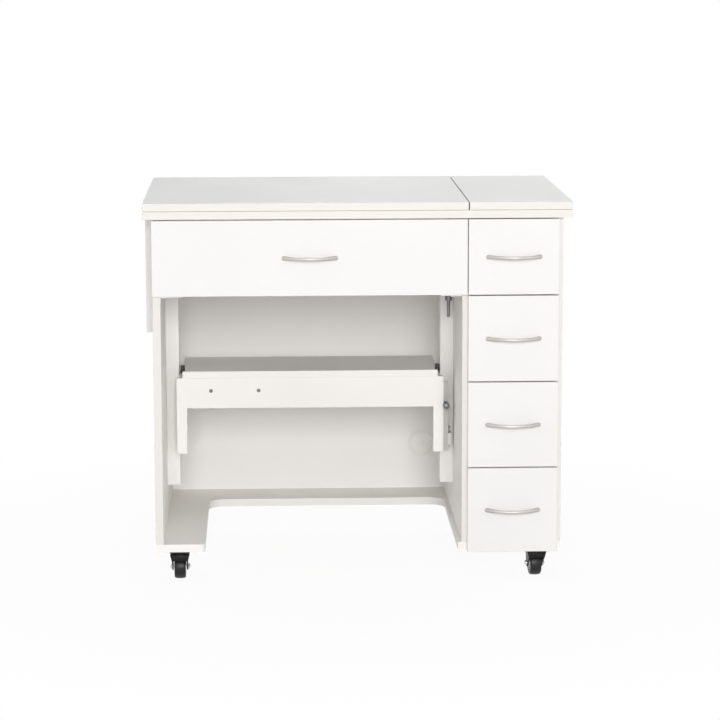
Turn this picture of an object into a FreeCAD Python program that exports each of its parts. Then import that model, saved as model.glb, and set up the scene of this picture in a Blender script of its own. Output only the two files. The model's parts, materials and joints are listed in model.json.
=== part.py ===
import FreeCAD, Part
import os

# Folding sewing and cutting table: a white board cabinet on four casters, with a
# sewing machine lift in the knee space, four drawers on the right, a drop front
# and two lids that fold out to the sides over the ends of the table.
# Millimetres. +X is the user's right, +Y the back, +Z up. The origin is on the
# floor, under the middle of the table's whole box.

# ---- overall sizes ----
table_width = 860.0
table_depth = 564.0
carcass_height = 682.5      # underside of the floor board to underside of the table top
caster_height = 62.5
board = 16.0                # every cabinet board
back_thick = 5.0
arris = 1.0                 # rounding of the banded board edges
side_overhang = 17.0        # table top past the side panels
front_setback = 3.5         # drawer faces behind the table top's front edge
rear_setback = 2.0
front_gap = 0.5             # closed fronts to the panel edges behind them
knee_width = 607.5          # left side panel to divider

# ---- lids and drop front ----
lid_gap = 0.5
lid_seam = 2.5
seam_shift = 1.5            # lid seam right of the line where the fronts meet
fronts_meet = 10.0          # right of the divider's knee side
front_reveal = 2.0
front_top_gap = 2.5
front_drop = 2.0            # lowest drawer front below the floor board
top_front_height = 152.5

# ---- floor board cut-out for the feet ----
left_arm_width = 100.0
rear_strip_depth = 107.0
divider_ledge = 7.0
cutout_corner = 35.0
arm_corner = 8.0

# ---- machine lift ----
lift_travel = 233.0
platform_height = 400.0     # top face above the floor, lift down
platform_thick = 15.0
platform_setback = 212.0
platform_depth = 190.0
platform_side_gap = 8.5
post_width = 27.0
post_depth = 60.0
post_setback = 262.0
post_bottom = 148.0
groove_width = 20.0
groove_depth = 8.0
groove_centre = 30.0        # behind the post's front face
block_height = 30.0
slide_clear = 0.3
stop_clear = 0.2
plate = 3.0                 # sheet steel of the lift arms
arm_clear = 0.6
arm_depth = 128.0
arm_shelf = 38.0
apron_inset = 4.0
apron_height = 64.0
apron_leg = 21.0
apron_lap = 4.0
apron_bottom = 224.0
apron_screw_radius = 4.0
apron_screw_length = 14.0
apron_screw_first = 72.0    # from the apron's left end
apron_screw_pitch = 100.0
apron_screw_drop = 27.0
cutout_side_clear = 3.5
cutout_front_clear = 10.0
cutout_rear_clear = 20.0
machine_corner = 12.0

# ---- lift stop rod, its lug and the lock knob ----
stop_rod_radius = 3.0
stop_rod_end = 505.5
stop_rod_gap = 3.0
stop_rod_side = 10.25       # from the divider
stop_flange_thick = 3.0
rod_collar_radius = 4.75
rod_collar_height = 12.0
rod_collar_level = 548.0
lug_height = 25.0
lug_side_clear = 0.5
stop_screw_radius = 2.5
stop_screw_length = 12.0    # above its lug
stop_screw_head = 5.0
stop_screw_head_thick = 5.0
lock_level = 324.0
lock_side = 17.5            # from the divider
lock_screw_radius = 2.0
lock_tip_clear = 0.3
strip_height = 147.0        # of the right arm's flange past the apron, from the apron's foot
strip_out = 11.0            # past the apron's end
knob_radius = 6.75
knob_length = 14.0
knob_clear = 0.5            # from the apron's front face
knob_collar_radius = 5.0
knob_round = 1.5
ear_side_clear = 5.0
end_clip_inset = 5.0        # behind the platform's front edge
end_clip_depth = 14.0
end_clip_height = 11.0
end_clip_lap = 5.0
end_clip_wall = 4.0
end_clip_drop = 12.0
end_clip_round = 2.0

# ---- drawers ----
drawer_count = 4
drawer_gap = 2.5
drawer_lap = 7.5            # drawer fronts over the right side panel's edge
runner_space = 12.7         # each side of a drawer box
runner_height = 34.0
runner_wall = 1.5
runner_lip_gap = 1.7
runner_rail_height = 23.0
runner_clear = 0.5
runner_rear_gap = 87.0
runner_front_gap = 3.0
runner_up = 32.0
box_side = 12.0
box_bottom = 4.0
box_up = 24.0               # box underside above the drawer front's lower edge
box_down = 22.0             # box rim below the drawer front's upper edge

# ---- bow handles ----
handle_length = 114.0
handle_reach = 28.0
handle_pitch = 96.0
handle_inner_length = 90.0
handle_inner_reach = 20.0
handle_height = 8.0
handle_round = 2.5
handle_screw_radius = 2.0
handle_screw_grip = 5.0
handle_screw_head = 4.0
handle_screw_head_thick = 2.4

# ---- lid hinges on the end edges ----
lid_hinge_length = 60.0
lid_hinge_count = 3
hinge_knuckles = 3          # along one hinge, the middle one on the moving leaf
lid_hinge_inset = 70.0
knuckle_radius = 2.75
lid_pin_radius = 1.4
running_clear = 0.05
knuckle_gap = 0.3
leaf_sink = 0.8
leaf_proud = 0.7
leaf_relief = 3.05
leaf_edge = 1.2

# ---- swing-out support for the left lid ----
support_length = 300.0
support_height = 242.0
support_setback = 91.5      # behind the panel's front edge
support_clear = 0.3
support_top_clear = 0.7
support_hinge_length = 50.0
support_hinge_inset = 22.0
support_knuckle = 2.6
support_axis_out = 2.8
support_pin_radius = 1.4
support_leaf = 1.5
support_leaf_reach = 22.0

# ---- drop front hinges ----
flap_axis_back = 3.0
flap_axis_drop = 3.5
flap_knuckle = 3.0
flap_knuckle_length = 11.0
flap_pin_radius = 1.5
flap_leaf = 1.5
flap_leaf_width = 30.0
flap_leaf_height = 32.0
flap_bracket_depth = 24.0
flap_bracket_height = 25.0

# ---- cable grommet in the back panel ----
grommet_side = 51.0         # from the divider to the grommet's middle
grommet_up = 180.0
grommet_flange_radius = 30.0
grommet_hole_radius = 28.0
grommet_bore_radius = 25.0
grommet_flange_thick = 2.0
grommet_cap_clear = 0.3
grommet_cap_thick = 3.0
grommet_boss_radius = 4.0
grommet_boss_height = 1.2

# ---- casters ----
caster_side_inset = 48.0
caster_back_inset = 47.0    # the front plates are flush with the boards' front
wheel_radius = 25.0
wheel_width = 23.0
wheel_round = 3.0
wheel_hub_radius = 9.0
wheel_hub_out = 0.8
axle_radius = 3.0
axle_length = 42.0
axle_head_radius = 5.0
axle_head_thick = 2.0
caster_trail = 15.0
front_right_turn = 4.0      # degrees, the way this caster stands about its kingpin
caster_plate_size = 41.0
caster_plate_thick = 2.5
caster_plate_corner = 4.0
race_radius = 17.0
race_thick = 5.0
swivel_gap = 0.3
fork_sheet = 2.5
fork_top_width = 39.0
fork_low_width = 32.5
fork_waist = 42.0           # height where the cheeks become upright and the skirt ends
fork_front_reach = 16.0
fork_rear_reach = 27.0
fork_axle_round = 8.0
kingpin_radius = 4.0
kingpin_clear = 0.08
kingpin_head_radius = 6.5
kingpin_head_thick = 2.2
caster_screw_radius = 2.0
caster_screw_head = 3.6
caster_screw_head_thick = 1.6
caster_screw_length = 12.0
caster_screw_pitch = 31.0

# ---- screws through the floor board ----
carcass_screw_radius = 3.0
carcass_screw_length = 46.0
carcass_screw_head = 5.0
carcass_screw_head_thick = 3.0
carcass_screw_count = 3
carcass_screw_inset = 60.0

# ---- places worked out from the sizes above ----
half_width = table_width / 2
top_front = -(table_depth + front_setback - handle_reach) / 2
top_back = top_front + table_depth
face_front = top_front + front_setback
face_back = face_front + board
carcass_front = face_back + front_gap
carcass_back = top_back - rear_setback - back_thick
floor_low = caster_height
floor_top = floor_low + board
top_low = floor_low + carcass_height
top_high = top_low + board
lid_low = top_high + lid_gap
lid_high = lid_low + board
side_out = half_width - side_overhang
side_in = side_out - board
divider_left = knee_width - side_in
divider_right = divider_left + board
fronts_line = divider_left + fronts_meet
seam_line = fronts_line + seam_shift
front_high = top_low - front_top_gap
front_split = front_high - top_front_height
lowest_front = floor_low - front_drop
tall_front_height = (front_split - lowest_front - (drawer_count - 1) * drawer_gap) / (drawer_count - 1)
flap_left = -side_out
flap_right = fronts_line - front_reveal / 2
drawer_left = fronts_line + front_reveal / 2
drawer_right = side_in + drawer_lap

platform_front = carcass_front + platform_setback
platform_back = platform_front + platform_depth
platform_low = platform_height - platform_thick
post_front = carcass_front + post_setback
post_back = post_front + post_depth
left_post_face = -side_in + post_width
right_post_face = divider_left - post_width
platform_left = left_post_face + platform_side_gap
platform_right = right_post_face - platform_side_gap
apron_front = platform_front + apron_inset
apron_back = apron_front + board
apron_left = left_post_face - apron_lap
apron_right = right_post_face + apron_lap
groove_low = apron_bottom + plate
bay_left = platform_left - cutout_side_clear
bay_right = platform_right + cutout_side_clear
bay_front = platform_front - cutout_front_clear
bay_back = platform_back + cutout_rear_clear
stop_rod_x = divider_left - stop_rod_side
stop_rod_y = post_front - stop_rod_gap - stop_rod_radius
lug_high = stop_rod_end - lift_travel - stop_clear - stop_screw_length
lock_x = divider_left - lock_side

grommet_x = divider_left - grommet_side
lid_axis_z = top_high + lid_gap / 2
flap_axis_y = face_back + flap_axis_back
flap_axis_z = front_split - flap_axis_drop
support_front = carcass_front + support_setback
support_back = support_front + support_length
support_inner = -side_out - support_clear
support_outer = support_inner - board
support_high = top_low - support_top_clear
support_low = support_high - support_height
support_axis_x = -side_out - support_axis_out
support_axis_y = support_back + support_axis_out
box_left = divider_right + runner_space
box_right = side_in - runner_space
runner_front = carcass_front + runner_front_gap
runner_back = carcass_back - runner_rear_gap

across = FreeCAD.Vector(1, 0, 0)
along = FreeCAD.Vector(0, 1, 0)
up = FreeCAD.Vector(0, 0, 1)
ends = (-1, 1)


def point(x, y, z):
    return FreeCAD.Vector(x, y, z)


def box(x0, x1, y0, y1, z0, z1):
    low = point(min(x0, x1), min(y0, y1), min(z0, z1))
    return Part.makeBox(abs(x1 - x0), abs(y1 - y0), abs(z1 - z0), low)


def rod(start, direction, radius, length):
    return Part.makeCylinder(radius, length, start, direction)


def rounded(shape, radius):
    return shape.makeFillet(radius, shape.Edges)


def rounded_board(x0, x1, y0, y1, z0, z1):
    return rounded(box(x0, x1, y0, y1, z0, z1), arris)


def upright_edges(shape, places):
    # the vertical edges of a board that stand at the given X and Y places
    found = []
    for edge in shape.Edges:
        size = edge.BoundBox
        upright = size.ZLength > size.DiagonalLength / 2
        if upright and any(abs(size.XMin - x) < arris and abs(size.YMin - y) < arris for x, y in places):
            found.append(edge)
    return found


def drawer_range(number):
    # lower and upper edge of a drawer front, counted from the top
    if number == 1:
        return front_split, front_high
    low = lowest_front + (drawer_count - number) * (tall_front_height + drawer_gap)
    return low, low + tall_front_height


def save(node, solids):
    Part.makeCompound(solids).exportStep(os.path.join("parts", node + ".step"))


# ---- carcass ----

def carcass_screw_places():
    spots = []
    step = (carcass_back - carcass_front - 2 * carcass_screw_inset) / (carcass_screw_count - 1)
    for left in (-side_out, divider_left, side_in):
        for number in range(carcass_screw_count):
            spots.append((left + board / 2, carcass_front + carcass_screw_inset + number * step))
    return spots


def carcass_screw(x, y):
    head = rod(point(x, y, floor_low), up, carcass_screw_head, carcass_screw_head_thick)
    shank = rod(point(x, y, floor_low), up, carcass_screw_radius, carcass_screw_length)
    return head.fuse(shank).removeSplitter()


def carcass_screws():
    return [carcass_screw(x, y) for x, y in carcass_screw_places()]


def caster_places():
    side = side_out - caster_side_inset
    front = carcass_front + caster_plate_size / 2
    back = carcass_back - caster_back_inset
    return {"front_left": (-side, front), "front_right": (side, front),
            "rear_left": (-side, back), "rear_right": (side, back)}


def caster_screw_places(x, y):
    reach = caster_screw_pitch / 2
    return [(x + i * reach, y + j * reach) for i in ends for j in ends]


def caster_screw(x, y):
    top = floor_low - caster_plate_thick
    head = rod(point(x, y, top - caster_screw_head_thick), up, caster_screw_head, caster_screw_head_thick)
    shank = rod(point(x, y, top), up, caster_screw_radius, caster_screw_length)
    return head.fuse(shank).removeSplitter()


def caster_screws():
    solids = []
    for x, y in caster_places().values():
        solids += [caster_screw(i, j) for i, j in caster_screw_places(x, y)]
    return solids


def floor_board():
    solid = box(-side_out, side_out, carcass_front, carcass_back, floor_low, floor_top)
    notch_left = -side_out + left_arm_width
    notch_right = divider_left - divider_ledge
    notch_back = carcass_back - rear_strip_depth
    notch = box(notch_left, notch_right, carcass_front - board, notch_back, floor_low, floor_top)
    corners = upright_edges(notch, [(notch_left, notch_back), (notch_right, notch_back)])
    solid = solid.cut(notch.makeFillet(cutout_corner, corners))
    solid = solid.makeFillet(arm_corner, upright_edges(solid, [(notch_left, carcass_front)]))
    for screw in carcass_screws() + caster_screws():
        solid = solid.cut(screw)
    return [solid]


def side_panel(left):
    solid = rounded_board(left, left + board, carcass_front, carcass_back, floor_top, top_low)
    for screw in carcass_screws():
        solid = solid.cut(screw)
    return [solid]


def back_panel():
    solid = box(-side_out, side_out, carcass_back, carcass_back + back_thick, floor_low, top_low)
    hole = rod(point(grommet_x, carcass_back, grommet_up), along, grommet_hole_radius, back_thick)
    return [solid.cut(hole)]


def cable_grommet():
    start = carcass_back - grommet_flange_thick
    middle = point(grommet_x, start, grommet_up)
    flange = rod(middle, along, grommet_flange_radius, grommet_flange_thick)
    sleeve = rod(middle, along, grommet_hole_radius, grommet_flange_thick + back_thick)
    bore = rod(middle, along, grommet_bore_radius, grommet_flange_thick + back_thick)
    return [flange.fuse(sleeve).removeSplitter().cut(bore)]


def grommet_cap():
    start = carcass_back - grommet_flange_thick
    middle = point(grommet_x, start, grommet_up)
    disc = rod(middle, along, grommet_bore_radius - grommet_cap_clear, grommet_cap_thick)
    boss = rod(point(grommet_x, start - grommet_boss_height, grommet_up), along,
               grommet_boss_radius, grommet_boss_height)
    return [disc.fuse(boss).removeSplitter()]


def table_top():
    solid = rounded_board(-half_width, half_width, top_front, top_back, top_low, top_high)
    bay = box(bay_left, bay_right, bay_front, bay_back, top_low, top_high)
    corners = upright_edges(bay, [(x, y) for x in (bay_left, bay_right) for y in (bay_front, bay_back)])
    solid = solid.cut(bay.makeFillet(machine_corner, corners))
    for side in ends:
        for start in lid_hinge_starts():
            for piece in lid_leaf_plates(side, start, False):
                solid = solid.cut(piece)
    return [solid]


# ---- lids and their hinges ----

def lid_hinge_starts():
    first = top_front + lid_hinge_inset
    last = top_back - lid_hinge_inset - lid_hinge_length
    step = (last - first) / (lid_hinge_count - 1)
    return [first + number * step for number in range(lid_hinge_count)]


def knuckle_spans(start, length, moving):
    share = length / hinge_knuckles
    if moving:
        return [(start + share + knuckle_gap, start + length - share - knuckle_gap)]
    return [(start, start + share), (start + length - share, start + length)]


def lid_leaf_plates(side, start, moving):
    # flat parts of a leaf let into the board's end edge: the leaf and its tongues
    inner = side * (half_width - leaf_sink)
    outer = side * (half_width + leaf_proud)
    turn = 1 if moving else -1
    far_edge = lid_high - leaf_edge if moving else top_low + leaf_edge
    near_edge = lid_axis_z + turn * leaf_relief
    plates = [box(inner, outer, start, start + lid_hinge_length, near_edge, far_edge)]
    for low, high in knuckle_spans(start, lid_hinge_length, moving):
        plates.append(box(inner, outer, low, high, lid_axis_z, near_edge))
    return plates


def lid_hinge_leaves(side, moving):
    axis_x = side * (half_width + knuckle_radius)
    solids = []
    for start in lid_hinge_starts():
        plates = lid_leaf_plates(side, start, moving)
        leaf = plates[0]
        for piece in plates[1:]:
            leaf = leaf.fuse(piece)
        for low, high in knuckle_spans(start, lid_hinge_length, moving):
            leaf = leaf.fuse(rod(point(axis_x, low, lid_axis_z), along, knuckle_radius, high - low))
        bore = rod(point(axis_x, start, lid_axis_z), along, lid_pin_radius + running_clear, lid_hinge_length)
        solids.append(leaf.removeSplitter().cut(bore))
    return solids


def lid_hinge_pins():
    axis_x = half_width + knuckle_radius
    return [rod(point(side * axis_x, start, lid_axis_z), along, lid_pin_radius, lid_hinge_length)
            for side in ends for start in lid_hinge_starts()]


def lid(side):
    if side < 0:
        solid = rounded_board(-half_width, seam_line - lid_seam / 2, top_front, top_back, lid_low, lid_high)
    else:
        solid = rounded_board(seam_line + lid_seam / 2, half_width, top_front, top_back, lid_low, lid_high)
    for start in lid_hinge_starts():
        for piece in lid_leaf_plates(side, start, True):
            solid = solid.cut(piece)
    return [solid]


# ---- swing-out support ----

def leaf_support():
    return [rounded_board(support_outer, support_inner, support_front, support_back,
                          support_low, support_high)]


def support_hinge_starts():
    return [support_low + support_hinge_inset, support_high - support_hinge_inset - support_hinge_length]


def support_hinge_leaves(moving):
    solids = []
    for start in support_hinge_starts():
        end = start + support_hinge_length
        if moving:
            clear = support_axis_x - support_axis_out - running_clear
            leaf = box(support_outer, clear, support_back, support_back + support_leaf, start, end)
        else:
            clear = support_axis_y + support_axis_out + running_clear
            far = support_axis_y + support_leaf_reach
            leaf = box(-side_out - support_leaf, -side_out, clear, far, start, end)
        for low, high in knuckle_spans(start, support_hinge_length, moving):
            barrel = rod(point(support_axis_x, support_axis_y, low), up, support_knuckle, high - low)
            if moving:
                tongue = box(clear, support_axis_x, support_back, support_back + support_leaf, low, high)
            else:
                tongue = box(-side_out - support_leaf, -side_out, support_axis_y, clear, low, high)
            leaf = leaf.fuse(tongue).fuse(barrel)
        bore = rod(point(support_axis_x, support_axis_y, start), up,
                   support_pin_radius + running_clear, support_hinge_length)
        solids.append(leaf.removeSplitter().cut(bore))
    return solids


def support_hinge_pins():
    return [rod(point(support_axis_x, support_axis_y, start), up, support_pin_radius, support_hinge_length)
            for start in support_hinge_starts()]


# ---- bow handles ----

def forward_arc(half_chord, reach, x, y, z):
    first = point(x - half_chord, y, z)
    last = point(x + half_chord, y, z)
    return Part.Arc(first, point(x, y - reach, z), last).toShape()


def bow_handle(x, y, z):
    # a bow on a face at Y = y, with a screw into each foot from behind
    low = z - handle_height / 2
    outer = handle_length / 2
    inner = handle_inner_length / 2
    edges = [forward_arc(outer, handle_reach, x, y, low), forward_arc(inner, handle_inner_reach, x, y, low)]
    for side in ends:
        foot = Part.LineSegment(point(x + side * inner, y, low), point(x + side * outer, y, low))
        edges.append(foot.toShape())
    bow = Part.Face(Part.Wire(Part.__sortEdges__(edges))).extrude(up * handle_height)
    long_edges = [edge for edge in bow.Edges if edge.BoundBox.XLength > inner]
    bow = bow.makeFillet(handle_round, long_edges)
    solids = [bow]
    for side in ends:
        screw_x = x + side * handle_pitch / 2
        shank_length = board + handle_screw_grip
        shank = rod(point(screw_x, y - handle_screw_grip, z), along, handle_screw_radius, shank_length)
        head = rod(point(screw_x, y + board, z), along, handle_screw_head, handle_screw_head_thick)
        screw = shank.fuse(head).removeSplitter()
        solids[0] = solids[0].cut(screw)
        solids.append(screw)
    return solids


def front_board(x0, x1, low, high):
    solid = rounded_board(x0, x1, face_front, face_back, low, high)
    for screw in bow_handle((x0 + x1) / 2, face_front, (low + high) / 2)[1:]:
        solid = solid.cut(screw)
    return [solid]


def front_handle(x0, x1, low, high):
    return bow_handle((x0 + x1) / 2, face_front, (low + high) / 2)


# ---- drop front hinges ----

def flap_hinge_bracket(side):
    wall = -side_in if side < 0 else divider_left
    plate_in = wall - side * flap_leaf
    knuckle_in = plate_in - side * flap_knuckle_length
    solid = box(wall, plate_in, carcass_front + knuckle_gap, carcass_front + flap_bracket_depth,
                flap_axis_z - flap_bracket_height / 2, flap_axis_z + flap_bracket_height / 2)
    start = min(plate_in, knuckle_in)
    solid = solid.fuse(rod(point(start, flap_axis_y, flap_axis_z), across, flap_knuckle, flap_knuckle_length))
    reach = flap_leaf + flap_knuckle_length
    bore = rod(point(min(wall, knuckle_in), flap_axis_y, flap_axis_z), across, flap_pin_radius, reach)
    return solid.removeSplitter().cut(bore)


def flap_hinge_leaf(side):
    wall = -side_in if side < 0 else divider_left
    first = wall - side * (flap_leaf + flap_knuckle_length + knuckle_gap)
    last = first - side * flap_knuckle_length
    far = first - side * flap_leaf_width
    solid = box(first, far, face_back, face_back + flap_leaf, flap_axis_z, front_split + flap_leaf_height)
    start = min(first, last)
    solid = solid.fuse(rod(point(start, flap_axis_y, flap_axis_z), across, flap_knuckle, flap_knuckle_length))
    bore = rod(point(min(first, far), flap_axis_y, flap_axis_z), across,
               flap_pin_radius + running_clear, flap_leaf_width)
    return solid.removeSplitter().cut(bore)


def flap_hinge_pin(side):
    wall = -side_in if side < 0 else divider_left
    reach = flap_leaf + 2 * flap_knuckle_length + knuckle_gap
    start = min(wall, wall - side * reach)
    return rod(point(start, flap_axis_y, flap_axis_z), across, flap_pin_radius, reach)


# ---- drawers ----

def runner_level(number):
    return drawer_range(number)[0] + box_up + runner_up


def fixed_runner(side, level):
    wall = divider_right if side < 0 else side_in
    lip = wall - side * (runner_space - runner_lip_gap)
    web = wall - side * runner_wall
    channel = box(wall, lip, runner_front, runner_back, level - runner_height / 2, level + runner_height / 2)
    half_gap = runner_rail_height / 2 + runner_clear
    return channel.cut(box(web, lip, runner_front, runner_back, level - half_gap, level + half_gap))


def fixed_runners():
    levels = [runner_level(number) for number in range(1, drawer_count + 1)]
    return [fixed_runner(side, level) for level in levels for side in ends]


def drawer_runners(number):
    level = runner_level(number)
    solids = []
    for side in ends:
        side_face = box_left if side < 0 else box_right
        tip = side_face + side * (runner_space - runner_wall - runner_clear)
        solids.append(box(side_face, tip, runner_front, runner_back,
                          level - runner_rail_height / 2, level + runner_rail_height / 2))
    return solids


def drawer_box(number):
    front_low, front_top = drawer_range(number)
    low = front_low + box_up
    high = front_top - box_down
    floor = low + box_bottom
    return [box(box_left, box_left + box_side, face_back, runner_back, floor, high),
            box(box_right - box_side, box_right, face_back, runner_back, floor, high),
            box(box_left + box_side, box_right - box_side, runner_back - box_side, runner_back, floor, high),
            box(box_left, box_right, face_back, runner_back, low, floor)]


# ---- machine lift ----

def lift_post(side):
    wall = -side_in if side < 0 else divider_left
    face = left_post_face if side < 0 else right_post_face
    solid = box(wall, face, post_front, post_back, post_bottom, top_low)
    middle = post_front + groove_centre
    groove = box(face, face + side * groove_depth, middle - groove_width / 2, middle + groove_width / 2,
                 groove_low, top_low)
    return [solid.cut(groove)]


def slide_blocks():
    middle = post_front + groove_centre
    half = groove_width / 2 - slide_clear
    solids = []
    for side in ends:
        face = left_post_face if side < 0 else right_post_face
        inner = face - side * arm_clear
        outer = face + side * (groove_depth - slide_clear)
        for low in (groove_low + stop_clear, platform_low - block_height - plate):
            solids.append(box(inner, outer, middle - half, middle + half, low, low + block_height))
    return solids


def lift_platform():
    return [rounded_board(platform_left, platform_right, platform_front, platform_back,
                          platform_low, platform_height)]


def apron_screw_places():
    first = apron_left + apron_screw_first
    return [(first + number * apron_screw_pitch, platform_low - apron_screw_drop) for number in range(2)]


def apron_screws():
    return [rod(point(x, apron_front, z), along, apron_screw_radius, apron_screw_length)
            for x, z in apron_screw_places()]


def lift_apron():
    solid = box(apron_left, apron_right, apron_front, apron_back, apron_bottom, platform_low)
    gap = box(apron_left + apron_leg, apron_right - apron_leg, apron_front, apron_back,
              apron_bottom, platform_low - apron_height)
    solid = solid.cut(gap)
    for screw in apron_screws():
        solid = solid.cut(screw)
    return [solid]


def lift_arm(side):
    # folded sheet: a side plate by the post, a shelf under the platform and a flange behind the apron leg
    face = left_post_face if side < 0 else right_post_face
    outer = face - side * arm_clear
    inner = outer - side * plate
    flange_in = (apron_left + apron_leg) if side < 0 else (apron_right - apron_leg)
    back = apron_back + arm_depth
    side_plate = box(outer, inner, apron_back, back, apron_bottom, platform_low)
    shelf = box(outer, outer - side * arm_shelf, apron_back, back, platform_low - plate, platform_low)
    flange = box(outer, flange_in, apron_back, apron_back + plate, apron_bottom, platform_low)
    return side_plate.fuse(shelf).fuse(flange)


def lock_and_stop_flanges():
    # the right arm's flange past the apron, for the lock screw, and an ear folded back under the stop rod
    outer = right_post_face - arm_clear
    ear_tip = divider_left - ear_side_clear
    ear_back = apron_back + plate
    lug_left = stop_rod_x - stop_screw_head - lug_side_clear
    strip = box(outer, apron_right + strip_out, apron_back, ear_back,
                apron_bottom, apron_bottom + strip_height)
    stop_ear = box(outer, ear_tip, apron_back, ear_back, lug_high - lug_height, lug_high)
    stop_lug = box(lug_left, ear_tip, apron_back, post_front - arm_clear, lug_high - plate, lug_high)
    return strip.fuse(stop_ear).fuse(stop_lug)


def lift_arms():
    bore = rod(point(lock_x, apron_back, lock_level), along, lock_screw_radius + running_clear, plate)
    right = lift_arm(1).fuse(lock_and_stop_flanges()).removeSplitter()
    return [lift_arm(-1).removeSplitter(), right.cut(bore).cut(stop_screw()[0])]


def stop_screw():
    # stands in the stop lug and meets the rod's end when the lift is up
    shank_length = plate + stop_screw_length
    shank = rod(point(stop_rod_x, stop_rod_y, lug_high - plate), up, stop_screw_radius, shank_length)
    head_low = lug_high + stop_screw_length - stop_screw_head_thick
    head = rod(point(stop_rod_x, stop_rod_y, head_low), up, stop_screw_head, stop_screw_head_thick)
    return [shank.fuse(head).removeSplitter()]


def stop_rod():
    shaft = rod(point(stop_rod_x, stop_rod_y, stop_rod_end), up, stop_rod_radius, top_low - stop_rod_end)
    flange = rod(point(stop_rod_x, stop_rod_y, top_low - stop_flange_thick), up,
                 stop_rod_radius + stop_rod_gap, stop_flange_thick)
    collar = rod(point(stop_rod_x, stop_rod_y, rod_collar_level), up, rod_collar_radius, rod_collar_height)
    return [shaft.fuse(flange).removeSplitter(), collar.cut(shaft)]


def lock_knob():
    # the collar reaches back beside the apron to the ear, and the screw goes on to the post
    grip_back = apron_front - knob_clear
    grip_front = grip_back - knob_length
    collar_back = apron_back - stop_clear
    screw_front = grip_front + knob_length / 2
    grip = rounded(rod(point(lock_x, grip_front, lock_level), along, knob_radius, knob_length), knob_round)
    collar = rod(point(lock_x, grip_back, lock_level), along, knob_collar_radius, collar_back - grip_back)
    screw_length = post_front - lock_tip_clear - screw_front
    screw = rod(point(lock_x, screw_front, lock_level), along, lock_screw_radius, screw_length)
    return [grip.fuse(collar).removeSplitter().cut(screw), screw]


def end_clips():
    solids = []
    start = platform_front + end_clip_inset
    for side in ends:
        end = platform_left if side < 0 else platform_right
        outer = end + side * end_clip_wall
        pad = box(end - side * end_clip_lap, outer, start, start + end_clip_depth,
                  platform_height, platform_height + end_clip_height)
        tops = [edge for edge in pad.Edges if edge.BoundBox.ZMax > platform_height + end_clip_round]
        lip = box(end, outer, start, start + end_clip_depth, platform_height - end_clip_drop, platform_height)
        solids.append(pad.makeFillet(end_clip_round, tops).fuse(lip).removeSplitter())
    return solids


# ---- casters ----

def caster_plate(x, y):
    half = caster_plate_size / 2
    low = floor_low - caster_plate_thick
    solid = box(x - half, x + half, y - half, y + half, low, floor_low)
    solid = solid.makeFillet(caster_plate_corner, upright_edges(solid, [(x + i * half, y + j * half)
                                                                      for i in ends for j in ends]))
    solid = solid.fuse(rod(point(x, y, low - race_thick), up, race_radius, race_thick)).removeSplitter()
    for i, j in caster_screw_places(x, y):
        solid = solid.cut(caster_screw(i, j))
    return solid.cut(kingpin(x, y))


def kingpin(x, y):
    crown_low = floor_low - caster_plate_thick - race_thick - swivel_gap - fork_sheet
    head_low = crown_low - swivel_gap - kingpin_head_thick
    head = rod(point(x, y, head_low), up, kingpin_head_radius, kingpin_head_thick)
    shank = rod(point(x, y, head_low), up, kingpin_radius, floor_low - head_low)
    return head.fuse(shank).removeSplitter()


def caster_plates():
    solids = []
    for x, y in caster_places().values():
        solids += [caster_plate(x, y), kingpin(x, y)]
    return solids


def prism(points, direction):
    return Part.Face(Part.makePolygon(points + [points[0]])).extrude(direction)


def fork_from_the_front(x, y, crown_high, low):
    # bridge and two cheeks that lean in and then hang straight, as one bent strip
    top = fork_top_width / 2
    foot = fork_low_width / 2
    right = [(top, crown_high), (foot, fork_waist), (foot, low), (foot - fork_sheet, low),
             (foot - fork_sheet, fork_waist), (top - fork_sheet, crown_high - fork_sheet)]
    left = [(-i, k) for i, k in reversed(right)]
    reach = fork_front_reach + fork_rear_reach
    return prism([point(x + i, y - fork_front_reach, k) for i, k in right + left], along * reach)


def fork_from_the_side(x, y, crown_high):
    # the cheeks narrow from the bridge to a round end about the axle
    axle_y = y + caster_trail
    crown_low = crown_high - fork_sheet
    wide = fork_top_width
    bridge = box(x - wide, x + wide, y - fork_front_reach, y + fork_rear_reach, crown_low, crown_high)
    taper = prism([point(x - wide, y - fork_front_reach, crown_low),
                   point(x - wide, y + fork_rear_reach, crown_low),
                   point(x - wide, axle_y + fork_axle_round, wheel_radius),
                   point(x - wide, axle_y - fork_axle_round, wheel_radius),
                   point(x - wide, y - fork_front_reach, fork_waist)], across * (2 * wide))
    eye = rod(point(x - wide, axle_y, wheel_radius), across, fork_axle_round, 2 * wide)
    return bridge.fuse(taper).fuse(eye)


def fork_skirt(x, y, crown_high):
    # closes the leading side between the cheeks
    top = fork_top_width / 2
    foot = fork_low_width / 2
    front = y - fork_front_reach
    return prism([point(x - top, front, crown_high), point(x + top, front, crown_high),
                  point(x + foot, front, fork_waist), point(x - foot, front, fork_waist)], along * fork_sheet)


def caster_fork(x, y):
    crown_high = floor_low - caster_plate_thick - race_thick - swivel_gap
    low = wheel_radius - fork_axle_round - fork_sheet
    solid = fork_from_the_front(x, y, crown_high, low).common(fork_from_the_side(x, y, crown_high))
    solid = solid.fuse(fork_skirt(x, y, crown_high))
    solid = solid.cut(rod(point(x, y, 0), up, kingpin_radius + kingpin_clear, floor_low))
    axle = caster_axle(x, y)
    return [solid.removeSplitter().cut(axle), axle]


def caster_axle(x, y):
    axle_y = y + caster_trail
    solid = rod(point(x - axle_length / 2, axle_y, wheel_radius), across, axle_radius, axle_length)
    for side in ends:
        inside = side * fork_low_width / 2
        start = point(x + min(inside, inside + side * axle_head_thick), axle_y, wheel_radius)
        solid = solid.fuse(rod(start, across, axle_head_radius, axle_head_thick))
    return solid.removeSplitter()


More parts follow.
